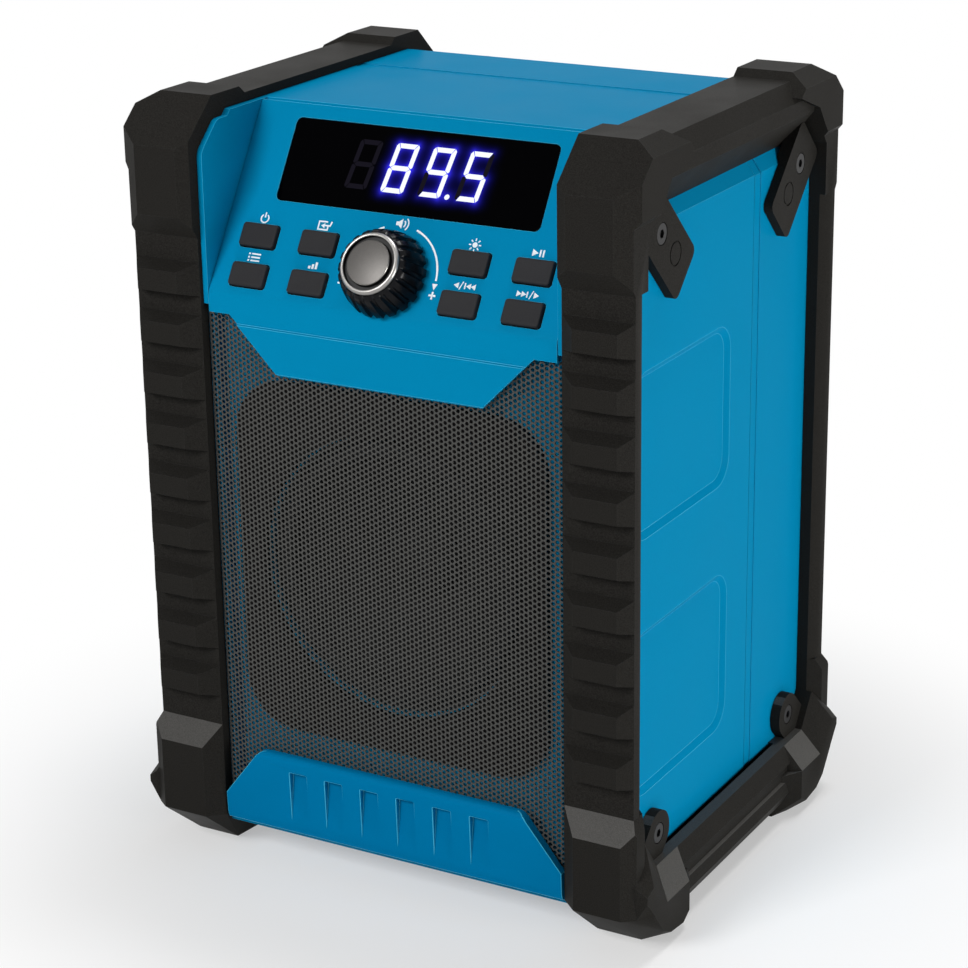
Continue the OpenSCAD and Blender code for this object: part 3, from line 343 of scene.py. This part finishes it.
def windingMaterial():
    # enamelled wire: bands along Y, one to each turn
    material, tree, shader = emptyMaterial("copper_winding", linear(184, 98, 44), 0.3, metallic=0.9)
    place = addNode(tree, "TexCoord")
    wire = addNode(tree, "TexWave", {"Vector": place.outputs["Object"], "Scale": 900.0},
                   wave_type="BANDS", bands_direction="Y").outputs["Fac"]
    toned = tint(tree, wire, linear(120, 56, 22), linear(206, 120, 62))
    tree.links.new(toned, shader.inputs["Base Color"])
    bump = addNode(tree, "Bump", {"Height": wire, "Strength": 0.8, "Distance": 0.1 * mm})
    tree.links.new(bump.outputs["Normal"], shader.inputs["Normal"])
    return material


def sleeveMaterial(name, light, dark, split, along):
    # printed sleeve in two plain colours that meet at a line across the cells
    material, tree, shader = emptyMaterial(name, light, 0.3)
    place = addNode(tree, "TexCoord")
    apart = addNode(tree, "SeparateXYZ", {"Vector": place.outputs["Object"]})
    pace = addNode(tree, "Math", {0: apart.outputs[along], 1: split * mm}, operation="PINGPONG")
    edge = spread(tree, pace.outputs["Value"], 0, 1, split * mm * 0.3, split * mm * 0.32)
    scratches = noiseOn(tree, 0.8, 2.0, (0.2, 1, 1))
    tree.links.new(tint(tree, edge, dark, light), shader.inputs["Base Color"])
    tree.links.new(spread(tree, scratches.outputs["Fac"], 0.22, 0.42), shader.inputs["Roughness"])
    return material


smokedLens = lensMaterial()
circuitBoard = boardMaterial("circuit_board")
spiderCloth = clothMaterial()
copperWinding = windingMaterial()
cellSleeve = sleeveMaterial("cell_sleeve", linear(196, 130, 60), linear(34, 34, 38), 48.5, "X")
canSleeve = sleeveMaterial("can_sleeve", linear(26, 34, 66), linear(170, 172, 176), 14, "Y")

finishOf = {
    "housing_gasket": softRubber, "housing_screws": steel, "frame_screws": blackSteel,
    "rubber_feet": softRubber, "speaker_bezel": bezelBlack, "display_module": darkPlastic,
    "control_board": circuitBoard, "contact_pads": brass, "control_screws": steel,
    "encoder_body": tinPlate, "encoder_shaft": turnedAluminium, "speaker_gasket": foam,
    "speaker_basket": paintedBasket, "speaker_screws": steel, "speaker_magnet": ferrite,
    "speaker_yoke": tinPlate, "speaker_terminals": brass, "cone": conePaper, "dust_cap": conePaper,
    "voice_coil": copperWinding, "cone_surround": softRubber, "spider": spiderCloth,
    "main_board": circuitBoard, "board_screws": steel, "heat_sink": turnedAluminium,
    "tuner_can": tinPlate, "capacitors": canSleeve, "dc_socket": darkPlastic,
    "aux_socket": darkPlastic, "usb_socket": tinPlate, "battery_cells": cellSleeve,
    "battery_contacts": tinPlate, "antenna_base": chrome, "antenna_knuckle": chrome,
    "antenna_tube": chrome, "antenna_mid": chrome, "antenna_tip": chrome, "antenna_screw": steel,
}
for node, material in finishOf.items():
    nodes[node].data.materials.clear()
    nodes[node].data.materials.append(material)
print("node finishes set")


# shells and frames: the CAD's own shapes with rounded edges, most of them in a lighter colour as a painted
# highlight

rounding = {"front_housing": 0.6, "rear_housing": 0.5, "side_frame_left": 0.45,
            "side_frame_right": 0.45, "control_panel": 0.55, "skirt": 0.3, "battery_door": 0.35,
            "socket_flap": 0.3}
shellFinish = {"side_frame_left": frameBlack, "side_frame_right": frameBlack, "skirt": skirtBlueShaded,
               "socket_flap": softRubber}
# lighter edge colours: painted highlights on the frames; the socket flap keeps its rubber
edgeFinishAndHighlight = {"side_frame_left": frameEdgeHighlight, "side_frame_right": frameEdgeHighlight,
              "socket_flap": softRubber}


def paintedHighlightFacets(centres, normals):
    # the up-facing slopes on top of the front feet, the small tops of their outer bumps and the lower rails' tops,
    # which get a painted highlight
    x, y, z = centres.T
    slope = (z > 39) & (z < 50) & (normals[:, 2] > 0.3) & (normals[:, 1] < -0.4)
    bump = (z > 24) & (z < 29) & (np.abs(x) > 90) & (normals[:, 2] > 0.7) & (y < 0)
    rail = (z > 5) & (z < 26) & (np.abs(x) > 84) & (normals[:, 2] > 0.35)
    return slope | bump | rail


for node, width in rounding.items():
    isFrame = node.startswith("side_frame")
    # a lighter colour on the rounded edges and, on the frames, on the up-facing foot and rail facets: painted
    # highlights
    softened(node, width, shellFinish.get(node, bodyBlue), edgeFinishAndHighlight.get(node, blueEdgeHighlight),
             framePaintedHighlight if isFrame else None, paintedHighlightFacets if isFrame else None)
print("shells softened")


# perforated mesh over the loudspeaker

meshSheet = {"pitch": 1.75, "hole": 0.67, "holeSides": 8, "thick": 0.4, "bend": 9.4, "slack": 0.4}


def sheetGrille(settings):
    # holes on a hexagonal lattice: x = i p sqrt(3)/2, z = (j + (i mod 2)/2) p; each lattice cell is
    # a hexagon with a round hole, front and back, joined by the hole's wall; y follows the CAD sheet
    pitch = settings["pitch"]
    sides = settings["holeSides"]
    low, high = (np.array(corner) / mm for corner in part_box("grille"))
    stepX = pitch * np.sqrt(3) / 2
    halfColumns = int((high[0] - low[0]) / stepX / 2 - 0.5)
    rows = int((high[2] - low[2]) / pitch - 0.5)
    hexagon = np.array([(2, 0), (1, 1), (-1, 1), (-2, 0), (-1, -1), (1, -1)])
    corners = hexagon * (pitch / np.sqrt(12), pitch / 2)
    turn = np.arange(sides) * 2 * np.pi / sides
    hole = settings["hole"] * np.stack([np.cos(turn), np.sin(turn)], -1)
    # the ring between six corners and the hole's points, as triangles that step round both
    ringTriangles = []
    inner = outer = 0
    while inner < sides or outer < 6:
        if outer < 6 and (inner == sides or (outer + 0.5) / 6 <= (inner + 0.5) / sides):
            ringTriangles.append((outer % 6, (outer + 1) % 6, 6 + inner % sides))
            outer += 1
        else:
            ringTriangles.append((outer % 6, 6 + (inner + 1) % sides, 6 + inner % sides))
            inner += 1
    perCell = 6 + sides
    front = np.array(ringTriangles)
    back = front[:, ::-1] + perCell
    step = np.arange(sides)
    after = (step + 1) % sides
    walls = np.concatenate([np.stack([6 + step, 6 + after, perCell + 6 + after], -1),
                            np.stack([6 + step, perCell + 6 + after, perCell + 6 + step], -1)])
    cellFaces = np.concatenate([front, back, walls])

    def half(name, columns):
        i, j = np.meshgrid(columns, np.arange(rows), indexing="ij")
        x = i.ravel() * stepX
        spare = ((high[2] - low[2]) - (rows - 0.5) * pitch) / 2
        z = low[2] + spare + (j + (i % 2) * 0.5).ravel() * pitch
        shape = np.concatenate([corners, hole])
        px = x[:, None] + shape[None, :, 0]
        pz = z[:, None] + shape[None, :, 1]
        rim = np.arange(perCell) < 6
        lastX = halfColumns * stepX
        px = np.where(rim & (np.abs(px) > lastX + pitch * 0.2), np.sign(px) * high[0], px)
        pz = np.where(rim & (pz < low[2] + pitch * 0.8), low[2], pz)
        pz = np.where(rim & (pz > high[2] - pitch * 0.8), high[2], pz)
        reach = high[0]
        flat = reach - settings["bend"]  # the sheet is straight inside this half width
        bend = np.clip((np.abs(px) - flat) / (reach - flat), 0, 1)
        depth = settings["thick"]
        frontY = low[1] + bend * (high[1] - low[1] - depth - settings["slack"])
        points = np.concatenate([np.stack([px, frontY, pz], -1),
                                 np.stack([px, frontY + depth, pz], -1)], 1)
        count = len(x)
        faces = (np.arange(count)[:, None, None] * 2 * perCell + cellFaces[None]).reshape(-1, 3)
        points = points.reshape(-1, 3)
        _, first, same = np.unique(np.round(points, 3), axis=0, return_index=True,
                                   return_inverse=True)
        faces = same.reshape(-1)[faces]
        a, b, c = faces.T
        faces = faces[(a != b) & (b != c) & (a != c)]
        piece = makePiece(name, points[first], faces.tolist(), [meshPaint], "housing", ("grille",),
                          sharp=30)
        closed = bmesh.new()
        closed.from_mesh(piece.data)
        rimEdges = [edge for edge in closed.edges if edge.is_boundary]
        if rimEdges:
            bmesh.ops.bridge_loops(closed, edges=rimEdges)
        closed.to_mesh(piece.data)
        closed.free()
        print(name, len(piece.data.polygons), "faces,", len(rimEdges), "rim edges closed")

    half("mesh_left", np.arange(-halfColumns, 0))
    half("mesh_right", np.arange(0, halfColumns + 1))


sheetGrille(meshSheet)


# buttons

keyShape = {"flange": 1.0, "shoulder": 0.45, "dish": 0.12, "proud": 1.4, "stemRadius": 2.4,
            "flangeLow": 4.1, "flangeHigh": 3.0}


def keyCap(node, settings):
    low, high = panelBox(node)
    centre = (low + high)[:2] / 2
    a, b = (high - low)[:2] / 2 - settings["flange"]
    r = settings["shoulder"]
    top = high[2]
    base = top - settings["proud"]  # the panel's surface
    stem = settings["stemRadius"]
    flangeLow, flangeHigh = base - settings["flangeLow"], base - settings["flangeHigh"]
    quarter = np.linspace(0, np.pi / 2, 5)
    sections = [(stem, stem, stem, low[2]), (stem, stem, stem, flangeLow),
                (a + 1, b + 1, 1.4, flangeLow), (a + 1, b + 1, 1.4, flangeHigh),
                (a, b, 1.0, flangeHigh), (a, b, 1.0, base - 0.2)]
    sections += [(a - r + r * np.cos(t), b - r + r * np.cos(t), 1.0 - r / 2 + r / 2 * np.cos(t),
                  top - r + r * np.sin(t)) for t in quarter]
    sections += [(a - 1.2, b - 1.2, 0.7, top - settings["dish"] * 0.4),
                 (a - 2.6, b - 2.6, 0.5, top - settings["dish"])]
    return loftOnPanel(node + "_key", centre, sections, [keyRubber], bodyOf[node], (node,))


buttonNodes = sorted(node for node in nodes if node.startswith("button_"))
for node in buttonNodes:
    keyCap(node, keyShape)
print(len(buttonNodes), "keys made")


# volume knob and its cap

knobShape = {"lobes": 20, "lobeDepth": 1.15, "bore": 3.02, "capRadius": 9.95}


def turnedOnPanel(name, radii, heights, materials, body, replaced, steps=240, wave=None, slots=None):
    # a profile carried round the knob's axis: (r cos t, r sin t, w), with r less wave(t, r, w)
    t = np.arange(steps) * 2 * np.pi / steps
    r = np.asarray(radii, float)[:, None] * np.ones(steps)
    w = np.asarray(heights, float)[:, None] * np.ones(steps)
    if wave is not None:
        r = r - wave(t[None, :], r, w)
    points = onPanel(r * np.cos(t), r * np.sin(t), w).reshape(-1, 3)
    ring, step = np.meshgrid(np.arange(len(radii) - 1), np.arange(steps), indexing="ij")
    after = (step + 1) % steps
    faces = np.stack([ring * steps + step, ring * steps + after,
                      (ring + 1) * steps + after, (ring + 1) * steps + step], -1).reshape(-1, 4)
    if radii[0] == radii[-1] and heights[0] == heights[-1]:
        last = (len(radii) - 1) * steps
        faces = np.where(faces >= last, faces - last, faces)
        points = points[:last]
    faceSlots = None if slots is None else np.repeat(slots, steps)
    return makePiece(name, points, faces.tolist(), materials, body, replaced, faceSlots, sharp=40)


def scallopedKnob(settings):
    low, high = panelBox("knob")
    radius = high[0]
    top = panelBox("knob_cap")[1][2]
    cap = settings["capRadius"]
    bore, foot = settings["bore"], low[2]
    radii = [bore, radius - 0.6, radius - 0.2, radius, radius - 0.25, radius - 0.6, radius - 1.4,
             radius - 2.2, radius - 2.6, radius - 2.95, radius - 3.4, cap + 0.3, cap + 0.04, cap + 0.04,
             bore, bore]
    heights = [foot, foot, foot + 0.2, foot + 0.8, 3.2, 5, top - 5.3, top - 3, top - 2.35, top - 1.95,
               top - 1.6, top - 1.42, top - 1.55, top - 4, top - 4, foot]

    def lobes(t, r, w):
        # flutes: depth max(0, cos(lobes t))^0.7, fading from the outside to the cap
        hollow = np.maximum(0, np.cos(settings["lobes"] * t)) ** 0.7
        outside = np.clip((r - cap) / (radius - cap), 0, 1) ** 0.6
        return settings["lobeDepth"] * hollow * outside * (r > cap + 0.05)

    turnedOnPanel("knob_grip", radii, heights, [knobPlastic], "knob", ("knob",), wave=lobes)
    # cap: bright rim, black groove and a wide disc with a soft edge
    radii = [0.02, cap, cap, 9.8, 9.5, 9.2, 8.8, 8.62, 8.45, 7.35, 7.2, 7.05, 6.8, 0.02]
    heights = [top - 4, top - 4, top - 1.25, top - 0.85, top - 0.45, top - 0.25, top - 0.25, top - 0.4,
               top - 1.6, top - 1.6, top - 0.32, top - 0.08, top, top]
    slots = [0, 0, 1, 1, 1, 1, 1, 2, 2, 2, 1, 0, 0]
    turnedOnPanel("knob_disc", radii, heights, [capMetal, rimMetal, grooveBlack], "knob",
                  ("knob_cap",), steps=144, slots=slots)


scallopedKnob(knobShape)
print("knob made")


# printing on the panel

printInk = grained("white_print", linear(232, 238, 242), 0.5, 4.0, 0.004, specular=0.3, speckle=0.03)


def stroke(path, width):
    # outline of a bent bar: the path pushed half its width to each side of its mean directions
    path = np.asarray(path, float)
    ahead = np.diff(path, axis=0)
    ahead /= np.linalg.norm(ahead, axis=1, keepdims=True)
    mean = np.concatenate([ahead[:1], ahead[:-1] + ahead[1:], ahead[-1:]])
    mean /= np.linalg.norm(mean, axis=1, keepdims=True)
    side = np.stack([-mean[:, 1], mean[:, 0]], -1)
    lead = np.concatenate([ahead[:1], ahead])
    reach = width / 2 / np.maximum(0.4, np.abs((mean * lead).sum(1)))[:, None]
    return np.concatenate([path - side * reach, (path + side * reach)[::-1]])


def arc(centre, radius, start, end, count=32):
    t = np.radians(np.linspace(start, end, count))
    return np.stack([centre[0] + radius * np.cos(t), centre[1] + radius * np.sin(t)], -1)


def triangle(x, wide, high):
    # points right when wide is positive
    return np.array([(x, -high / 2), (x + wide, 0), (x, high / 2)])[::1 if wide > 0 else -1]


def bar(x, wide, high):
    return np.array([(x, -high / 2), (x + wide, -high / 2), (x + wide, high / 2), (x, high / 2)])


inkWidth = 0.48
symbols = {
    "button_power": [stroke(arc((0, -0.1), 1.35, 125, 415), inkWidth),
                     stroke([(0, 0.2), (0, 1.9)], inkWidth)],
    "button_source": [stroke([(1.1, 1.3), (-1.9, 1.3), (-1.9, -1.3), (1.5, -1.3), (1.5, -0.1)],
                             inkWidth),
                      stroke([(2.6, 1.5), (2.2, 0.1), (0.2, 0.1)], inkWidth), triangle(0.3, -1.3, 1.7)],
    "button_light": [arc((0, 0), 0.85, 0, 345, 24)]
    + [stroke([(1.3 * np.cos(t), 1.3 * np.sin(t)), (2.1 * np.cos(t), 2.1 * np.sin(t))], 0.4)
       for t in np.arange(8) * np.pi / 4],
    "button_play": [triangle(-2.2, 2.0, 2.2), bar(0.2, 0.55, 2.2), bar(1.25, 0.55, 2.2)],
    "button_back": [triangle(-1.9, -1.7, 1.9), stroke([(-1.5, -1.3), (-0.5, 1.3)], 0.35),
                    bar(0.1, 0.45, 1.9), triangle(2.3, -1.6, 1.9), triangle(3.9, -1.6, 1.9)],
    "button_next": [triangle(-3.9, 1.6, 1.9), triangle(-2.3, 1.6, 1.9), bar(-0.6, 0.45, 1.9),
                    stroke([(0.5, -1.3), (1.5, 1.3)], 0.35), triangle(1.9, 1.7, 1.9)],
    "button_preset": [bar(-2.2, 0.6, 0.6) + (0, y) for y in (-1.1, 0, 1.1)]
    + [bar(-1.1, 3.3, 0.5) + (0, y) for y in (-1.1, 0, 1.1)],
    "button_memory": [bar(-1.6, 0.8, 0.9) + (0, -0.7), bar(-0.4, 0.8, 1.5) + (0, -0.4),
                      bar(0.8, 0.8, 2.2)],
}
printing = {"height": 6.0, "arcCentre": (0.6, 0.0), "arcRadius": 16.3, "thick": 0.03,
            "signs": (0, -4.1), "horn": (0.5, 16.9)}


def printOnPanel(name, outlines, base, material, thick):
    # each outline is a thin plate that stands on the panel
    points = []
    faces = []
    for outline in outlines:
        n = len(outline)
        start = sum(len(p) for p in points)
        points += [onPanel(outline[:, 0], outline[:, 1], base),
                   onPanel(outline[:, 0], outline[:, 1], base + thick)]
        faces += [list(range(start + n - 1, start - 1, -1)), list(range(start + n, start + 2 * n))]
        k = np.arange(n)
        after = (k + 1) % n
        faces += np.stack([start + k, start + after, start + n + after, start + n + k], -1).tolist()
    return makePiece(name, np.concatenate(points), faces, [material], "housing", sharp=20)


def panelPrinting(settings):
    for node in buttonNodes:
        low, high = panelBox(node)
        centre = (low + high)[:2] / 2 + (0, settings["height"])
        if node in symbols:
            printOnPanel("print_" + node.removeprefix("button_"),
                         [shape + centre for shape in symbols[node]], 0.0, printInk, settings["thick"])
    centre, radius = settings["arcCentre"], settings["arcRadius"]
    head = np.array([(-0.95, 0.0), (0.0, -2.0), (0.95, 0.0)])
    outlines = [stroke(arc(centre, radius, 112, 181), 0.6), stroke(arc(centre, radius, 71, 2), 0.6),
                head + (centre[0] - radius, -0.2), head + (centre[0] + radius, -0.4)]
    minusAndPlus = [bar(-16.6, 2.2, 0.55), bar(15.7, 2.4, 0.6), bar(16.6, 0.6, 2.4)]
    outlines += [shape + settings["signs"] for shape in minusAndPlus]
    horn = np.array([(-2.3, -0.6), (-1.4, -0.6), (-0.2, -1.6), (-0.2, 1.6), (-1.4, 0.6), (-2.3, 0.6)])
    waves = [stroke(arc((-0.4, 0), radius, -48, 48, 12), 0.42) for radius in (1.3, 2.4)]
    outlines += [shape + settings["horn"] for shape in (horn, *waves)]
    printOnPanel("print_volume", outlines, 0.0, printInk, settings["thick"])


panelPrinting(printing)
print("printing made")


# display digits and their glow

display = {"digits": "89.5", "wide": 8.1, "high": 16.1, "pitch": 13.1, "left": -10.7, "low": 26.2,
           "slant": 0.12, "line": 1.55, "lift": 0.03, "plate": 0.02, "glowLift": 0.015,
           "glowStep": 0.4, "glowReach": 2.2, "glowMargin": (6, 4.5)}
litSegments = {"8": "abcdefg", "9": "abcdfg", "5": "acdfg"}


def segmentShapes(wide, high, line):
    # outlines of the seven segments, in mm from the digit's lower left corner
    e = 0.14  # half the gap between neighbours
    half = high / 2
    top = np.array([(0.45 * line + e, high), (line + 0.5 * e, high - line),
                    (wide - line - 0.5 * e, high - line), (wide - 0.45 * line - e, high)])
    upperLeft = np.array([(0.0, high - 0.55 * line), (0.0, half + 0.35 * line), (0.3 * line, half + e),
                          (line, half + 0.5 * line + e), (line, high - line - e),
                          (0.45 * line - e, high - 0.1)])
    middle = np.array([(0.9 * line + e, half + line / 2), (0.35 * line + e, half),
                       (0.9 * line + e, half - line / 2), (wide - 0.9 * line - e, half - line / 2),
                       (wide - 0.35 * line - e, half), (wide - 0.9 * line - e, half + line / 2)])

    def mirrorX(shape):
        return (shape * (-1, 1) + (wide, 0))[::-1]

    def mirrorY(shape):
        return (shape * (1, -1) + (0, high))[::-1]

    return {"a": top, "f": upperLeft, "b": mirrorX(upperLeft), "g": middle, "d": mirrorY(top),
            "e": mirrorY(upperLeft), "c": mirrorX(mirrorY(upperLeft))}


def emissive(name, colour, strength):
    material, tree, shader = emptyMaterial(name, linear(1, 1, 2), 0.1, specular=0.01)
    soft = noiseOn(tree, 0.25, 1.0)
    toned = tint(tree, soft.outputs["Fac"], shaded(colour, 0.94), colour)
    tree.links.new(toned, shader.inputs["Emission Color"])
    shader.inputs["Emission Strength"].default_value = strength
    return material


def glowMaterial():
    # light scattered in the lens round the lit segments, from the attribute "glow"
    material, tree, shader = emptyMaterial("display_glow", linear(1, 1, 2), 0.07, specular=0.01)
    amount = addNode(tree, "Attribute", attribute_name="glow").outputs["Fac"]
    toned = tint(tree, amount, (0, 0, 0, 1), (0.035, 0.03, 0.95, 1))
    tree.links.new(toned, shader.inputs["Emission Color"])
    shader.inputs["Emission Strength"].default_value = 1.0
    return material


def displayDigits(settings):
    lensTop = panelBox("display_lens")[1][2]
    shapes = segmentShapes(settings["wide"], settings["high"], settings["line"])
    lit, dark = [], []
    place = 0
    for mark in settings["digits"]:
        left = settings["left"] + place * settings["pitch"]
        if mark == ".":
            lit.append(arc((left - 2.6, 0.75), 0.85, 0, 340, 18))
            continue
        for name, shape in shapes.items():
            (lit if name in litSegments[mark] else dark).append(shape + (left, 0))
        place += 1
    dark += [shape + (settings["left"] - settings["pitch"], 0) for shape in shapes.values()]

    def leaned(shape):
        return shape + np.stack([shape[:, 1] * settings["slant"], np.full(len(shape), settings["low"])], -1)

    lit = [leaned(shape) for shape in lit]
    dark = [leaned(shape) for shape in dark]
    lift, plate = settings["lift"], settings["plate"]
    litColour = emissive("lit_segment", (0.9, 0.94, 1.0, 1.0), 1.15)
    printOnPanel("digits_lit", lit, lensTop + lift, litColour, plate)
    # painted glow: the unlit segments give off a faint light of their own
    darkColour = emissive("dark_segment", (0.008, 0.007, 0.012, 1.0), 1.0)
    printOnPanel("digits_dark", dark, lensTop + lift, darkColour, plate)
    # glow: the sum over lit outlines of exp(-distance / (0.55 reach)) / 2, capped at 1 and raised to 1.6
    every = np.concatenate(lit)
    marginU, marginV = settings["glowMargin"]
    u = np.arange(every[:, 0].min() - marginU, every[:, 0].max() + marginU, settings["glowStep"])
    v = np.arange(every[:, 1].min() - marginV, every[:, 1].max() + marginV, settings["glowStep"])
    gridU, gridV = np.meshgrid(u, v, indexing="ij")
    glow = np.zeros_like(gridU)
    for shape in lit:
        ends = np.roll(shape, -1, axis=0)
        along = ends - shape
        reach = np.stack([gridU, gridV], -1)[:, :, None, :] - shape
        part = np.clip((reach * along).sum(-1) / (along ** 2).sum(-1), 0, 1)[..., None]
        distance = np.linalg.norm(reach - part * along, axis=-1).min(-1)
        glow += np.exp(-distance / (settings["glowReach"] * 0.55)) * 0.5
    edge = np.minimum.reduce([gridU - u[0], u[-1] - gridU, gridV - v[0], v[-1] - gridV])
    glow = np.clip(glow, 0, 1) ** 1.6 * np.clip(edge / 3, 0, 1)
    rows, columns = gridU.shape
    i, j = np.meshgrid(np.arange(rows - 1), np.arange(columns - 1), indexing="ij")
    corner = i * columns + j
    faces = np.stack([corner, corner + columns, corner + columns + 1, corner + 1], -1)
    points = onPanel(gridU, gridV, lensTop + settings["glowLift"]).reshape(-1, 3)
    piece = makePiece("display_glow", points, faces.reshape(-1, 4).tolist(), [glowMaterial()], "housing")
    stored = piece.data.attributes.new("glow", "FLOAT", "POINT")
    stored.data.foreach_set("value", glow.ravel().astype(np.float32))


displayDigits(display)
softened("display_lens", 0.35, smokedLens)
print("display made")


# camera, floor, world and lamps

view = {
    "lens": 100.892, "place": (0.419505, -0.741163, 0.423595),
    "right": (0.87075497, 0.49149963, -0.01462563), "down": (0.15272327, -0.29860256, -0.94207861),
    "forward": (-0.46739854, 0.81808595, -0.3350731),
}


def makeCamera(settings):
    lensData = bpy.data.cameras.new("view")
    lensData.lens = settings["lens"]
    lensData.sensor_width = 36
    camera = bpy.data.objects.new("view", lensData)
    bpy.context.scene.collection.objects.link(camera)
    axes = np.array([settings["right"], -np.array(settings["down"]), -np.array(settings["forward"])]).T
    camera.matrix_world = Matrix.Translation(settings["place"]) @ Matrix(axes.tolist()).to_4x4()
    bpy.context.scene.camera = camera


def areaLamp(name, place, target, wide, high, power, colour):
    lamp = bpy.data.lights.new(name, "AREA")
    lamp.shape = "RECTANGLE"
    lamp.size = wide
    lamp.size_y = high
    lamp.energy = power
    lamp.color = colour
    holder = bpy.data.objects.new(name, lamp)
    bpy.context.scene.collection.objects.link(holder)
    aim = Vector(target) - Vector(place)
    holder.matrix_world = Matrix.Translation(place) @ aim.to_track_quat("-Z", "Y").to_matrix().to_4x4()


def seenDirectly(tree):
    # 1 for camera, glossy and transmission rays
    path = addNode(tree, "LightPath")
    seen = addNode(tree, "Math", {0: path.outputs["Is Camera Ray"], 1: path.outputs["Is Glossy Ray"]},
                   operation="MAXIMUM")
    return addNode(tree, "Math", {0: seen.outputs[0], 1: path.outputs["Is Transmission Ray"]},
                   operation="MAXIMUM").outputs[0]


floorPaper = {"shade": 0.9, "lift": 0.42, "fadeStart": 0.1, "fadeEnd": 0.24, "half": 4.0}


def makeFloor(settings):
    # pale paper that keeps the shadow near the radio and turns to the plain white background further out
    shade = settings["shade"]
    material, tree, shader = emptyMaterial("floor_paper", (shade, shade, shade, 1), 0.9, specular=0.1)
    place = addNode(tree, "TexCoord")
    apart = addNode(tree, "VectorMath", {0: place.outputs["Object"]}, operation="LENGTH")
    far = addNode(tree, "MapRange",
                  {"Value": apart.outputs["Value"], "From Min": settings["fadeStart"],
                   "From Max": settings["fadeEnd"], "To Min": settings["lift"], "To Max": 1.0},
                  interpolation_type="SMOOTHSTEP")
    share = addNode(tree, "Math", {0: far.outputs["Result"], 1: seenDirectly(tree)},
                    operation="MULTIPLY")
    white = addNode(tree, "Emission", {"Color": (1, 1, 1, 1), "Strength": 1.0})
    mix = addNode(tree, "MixShader", {0: share.outputs[0], 1: shader.outputs[0], 2: white.outputs[0]})
    tree.links.new(mix.outputs[0], tree.nodes["Material Output"].inputs["Surface"])
    points = np.array([(-1, -1, 0), (1, -1, 0), (1, 1, 0), (-1, 1, 0)]) * settings["half"]
    mesh = bpy.data.meshes.new("floor")
    mesh.from_pydata((points + (0, 0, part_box("rubber_feet")[0][2])).tolist(), [], [[0, 1, 2, 3]])
    mesh.materials.append(material)
    floor = bpy.data.objects.new("floor", mesh)
    bpy.context.scene.collection.objects.link(floor)


def makeWorld(strength):
    world = bpy.data.worlds.new("studio")
    world.use_nodes = True
    bpy.context.scene.world = world
    tree = world.node_tree
    tree.nodes.clear()
    level = addNode(tree, "MapRange", {"Value": seenDirectly(tree), "To Min": strength, "To Max": 1.0})
    glow = addNode(tree, "Background", {"Color": (1, 1, 1, 1), "Strength": level.outputs[0]})
    output = tree.nodes.new("ShaderNodeOutputWorld")
    tree.links.new(glow.outputs[0], output.inputs["Surface"])


# place, target, width, height, power in watts and colour of each lamp, and the world's strength
lamps = {
    "side_box": ((1.25, -0.15, 0.16), (0, 0, 0.13), 0.5, 0.34, 9.2, (1, 0.99, 0.97)),
    "top_box": ((0.15, 0.45, 1.35), (0, 0, 0.1), 0.45, 0.45, 8.5, (1, 1, 1)),
    "front_box": ((-0.35, -1.2, 0.95), (0, 0, 0.15), 0.45, 0.4, 14, (1, 1, 1)),
}
worldStrength = 0.15

makeCamera(view)
makeFloor(floorPaper)
makeWorld(worldStrength)
for name, lamp in lamps.items():
    areaLamp(name, *lamp)
bpy.context.scene.view_settings.view_transform = "Standard"
print("stage set")
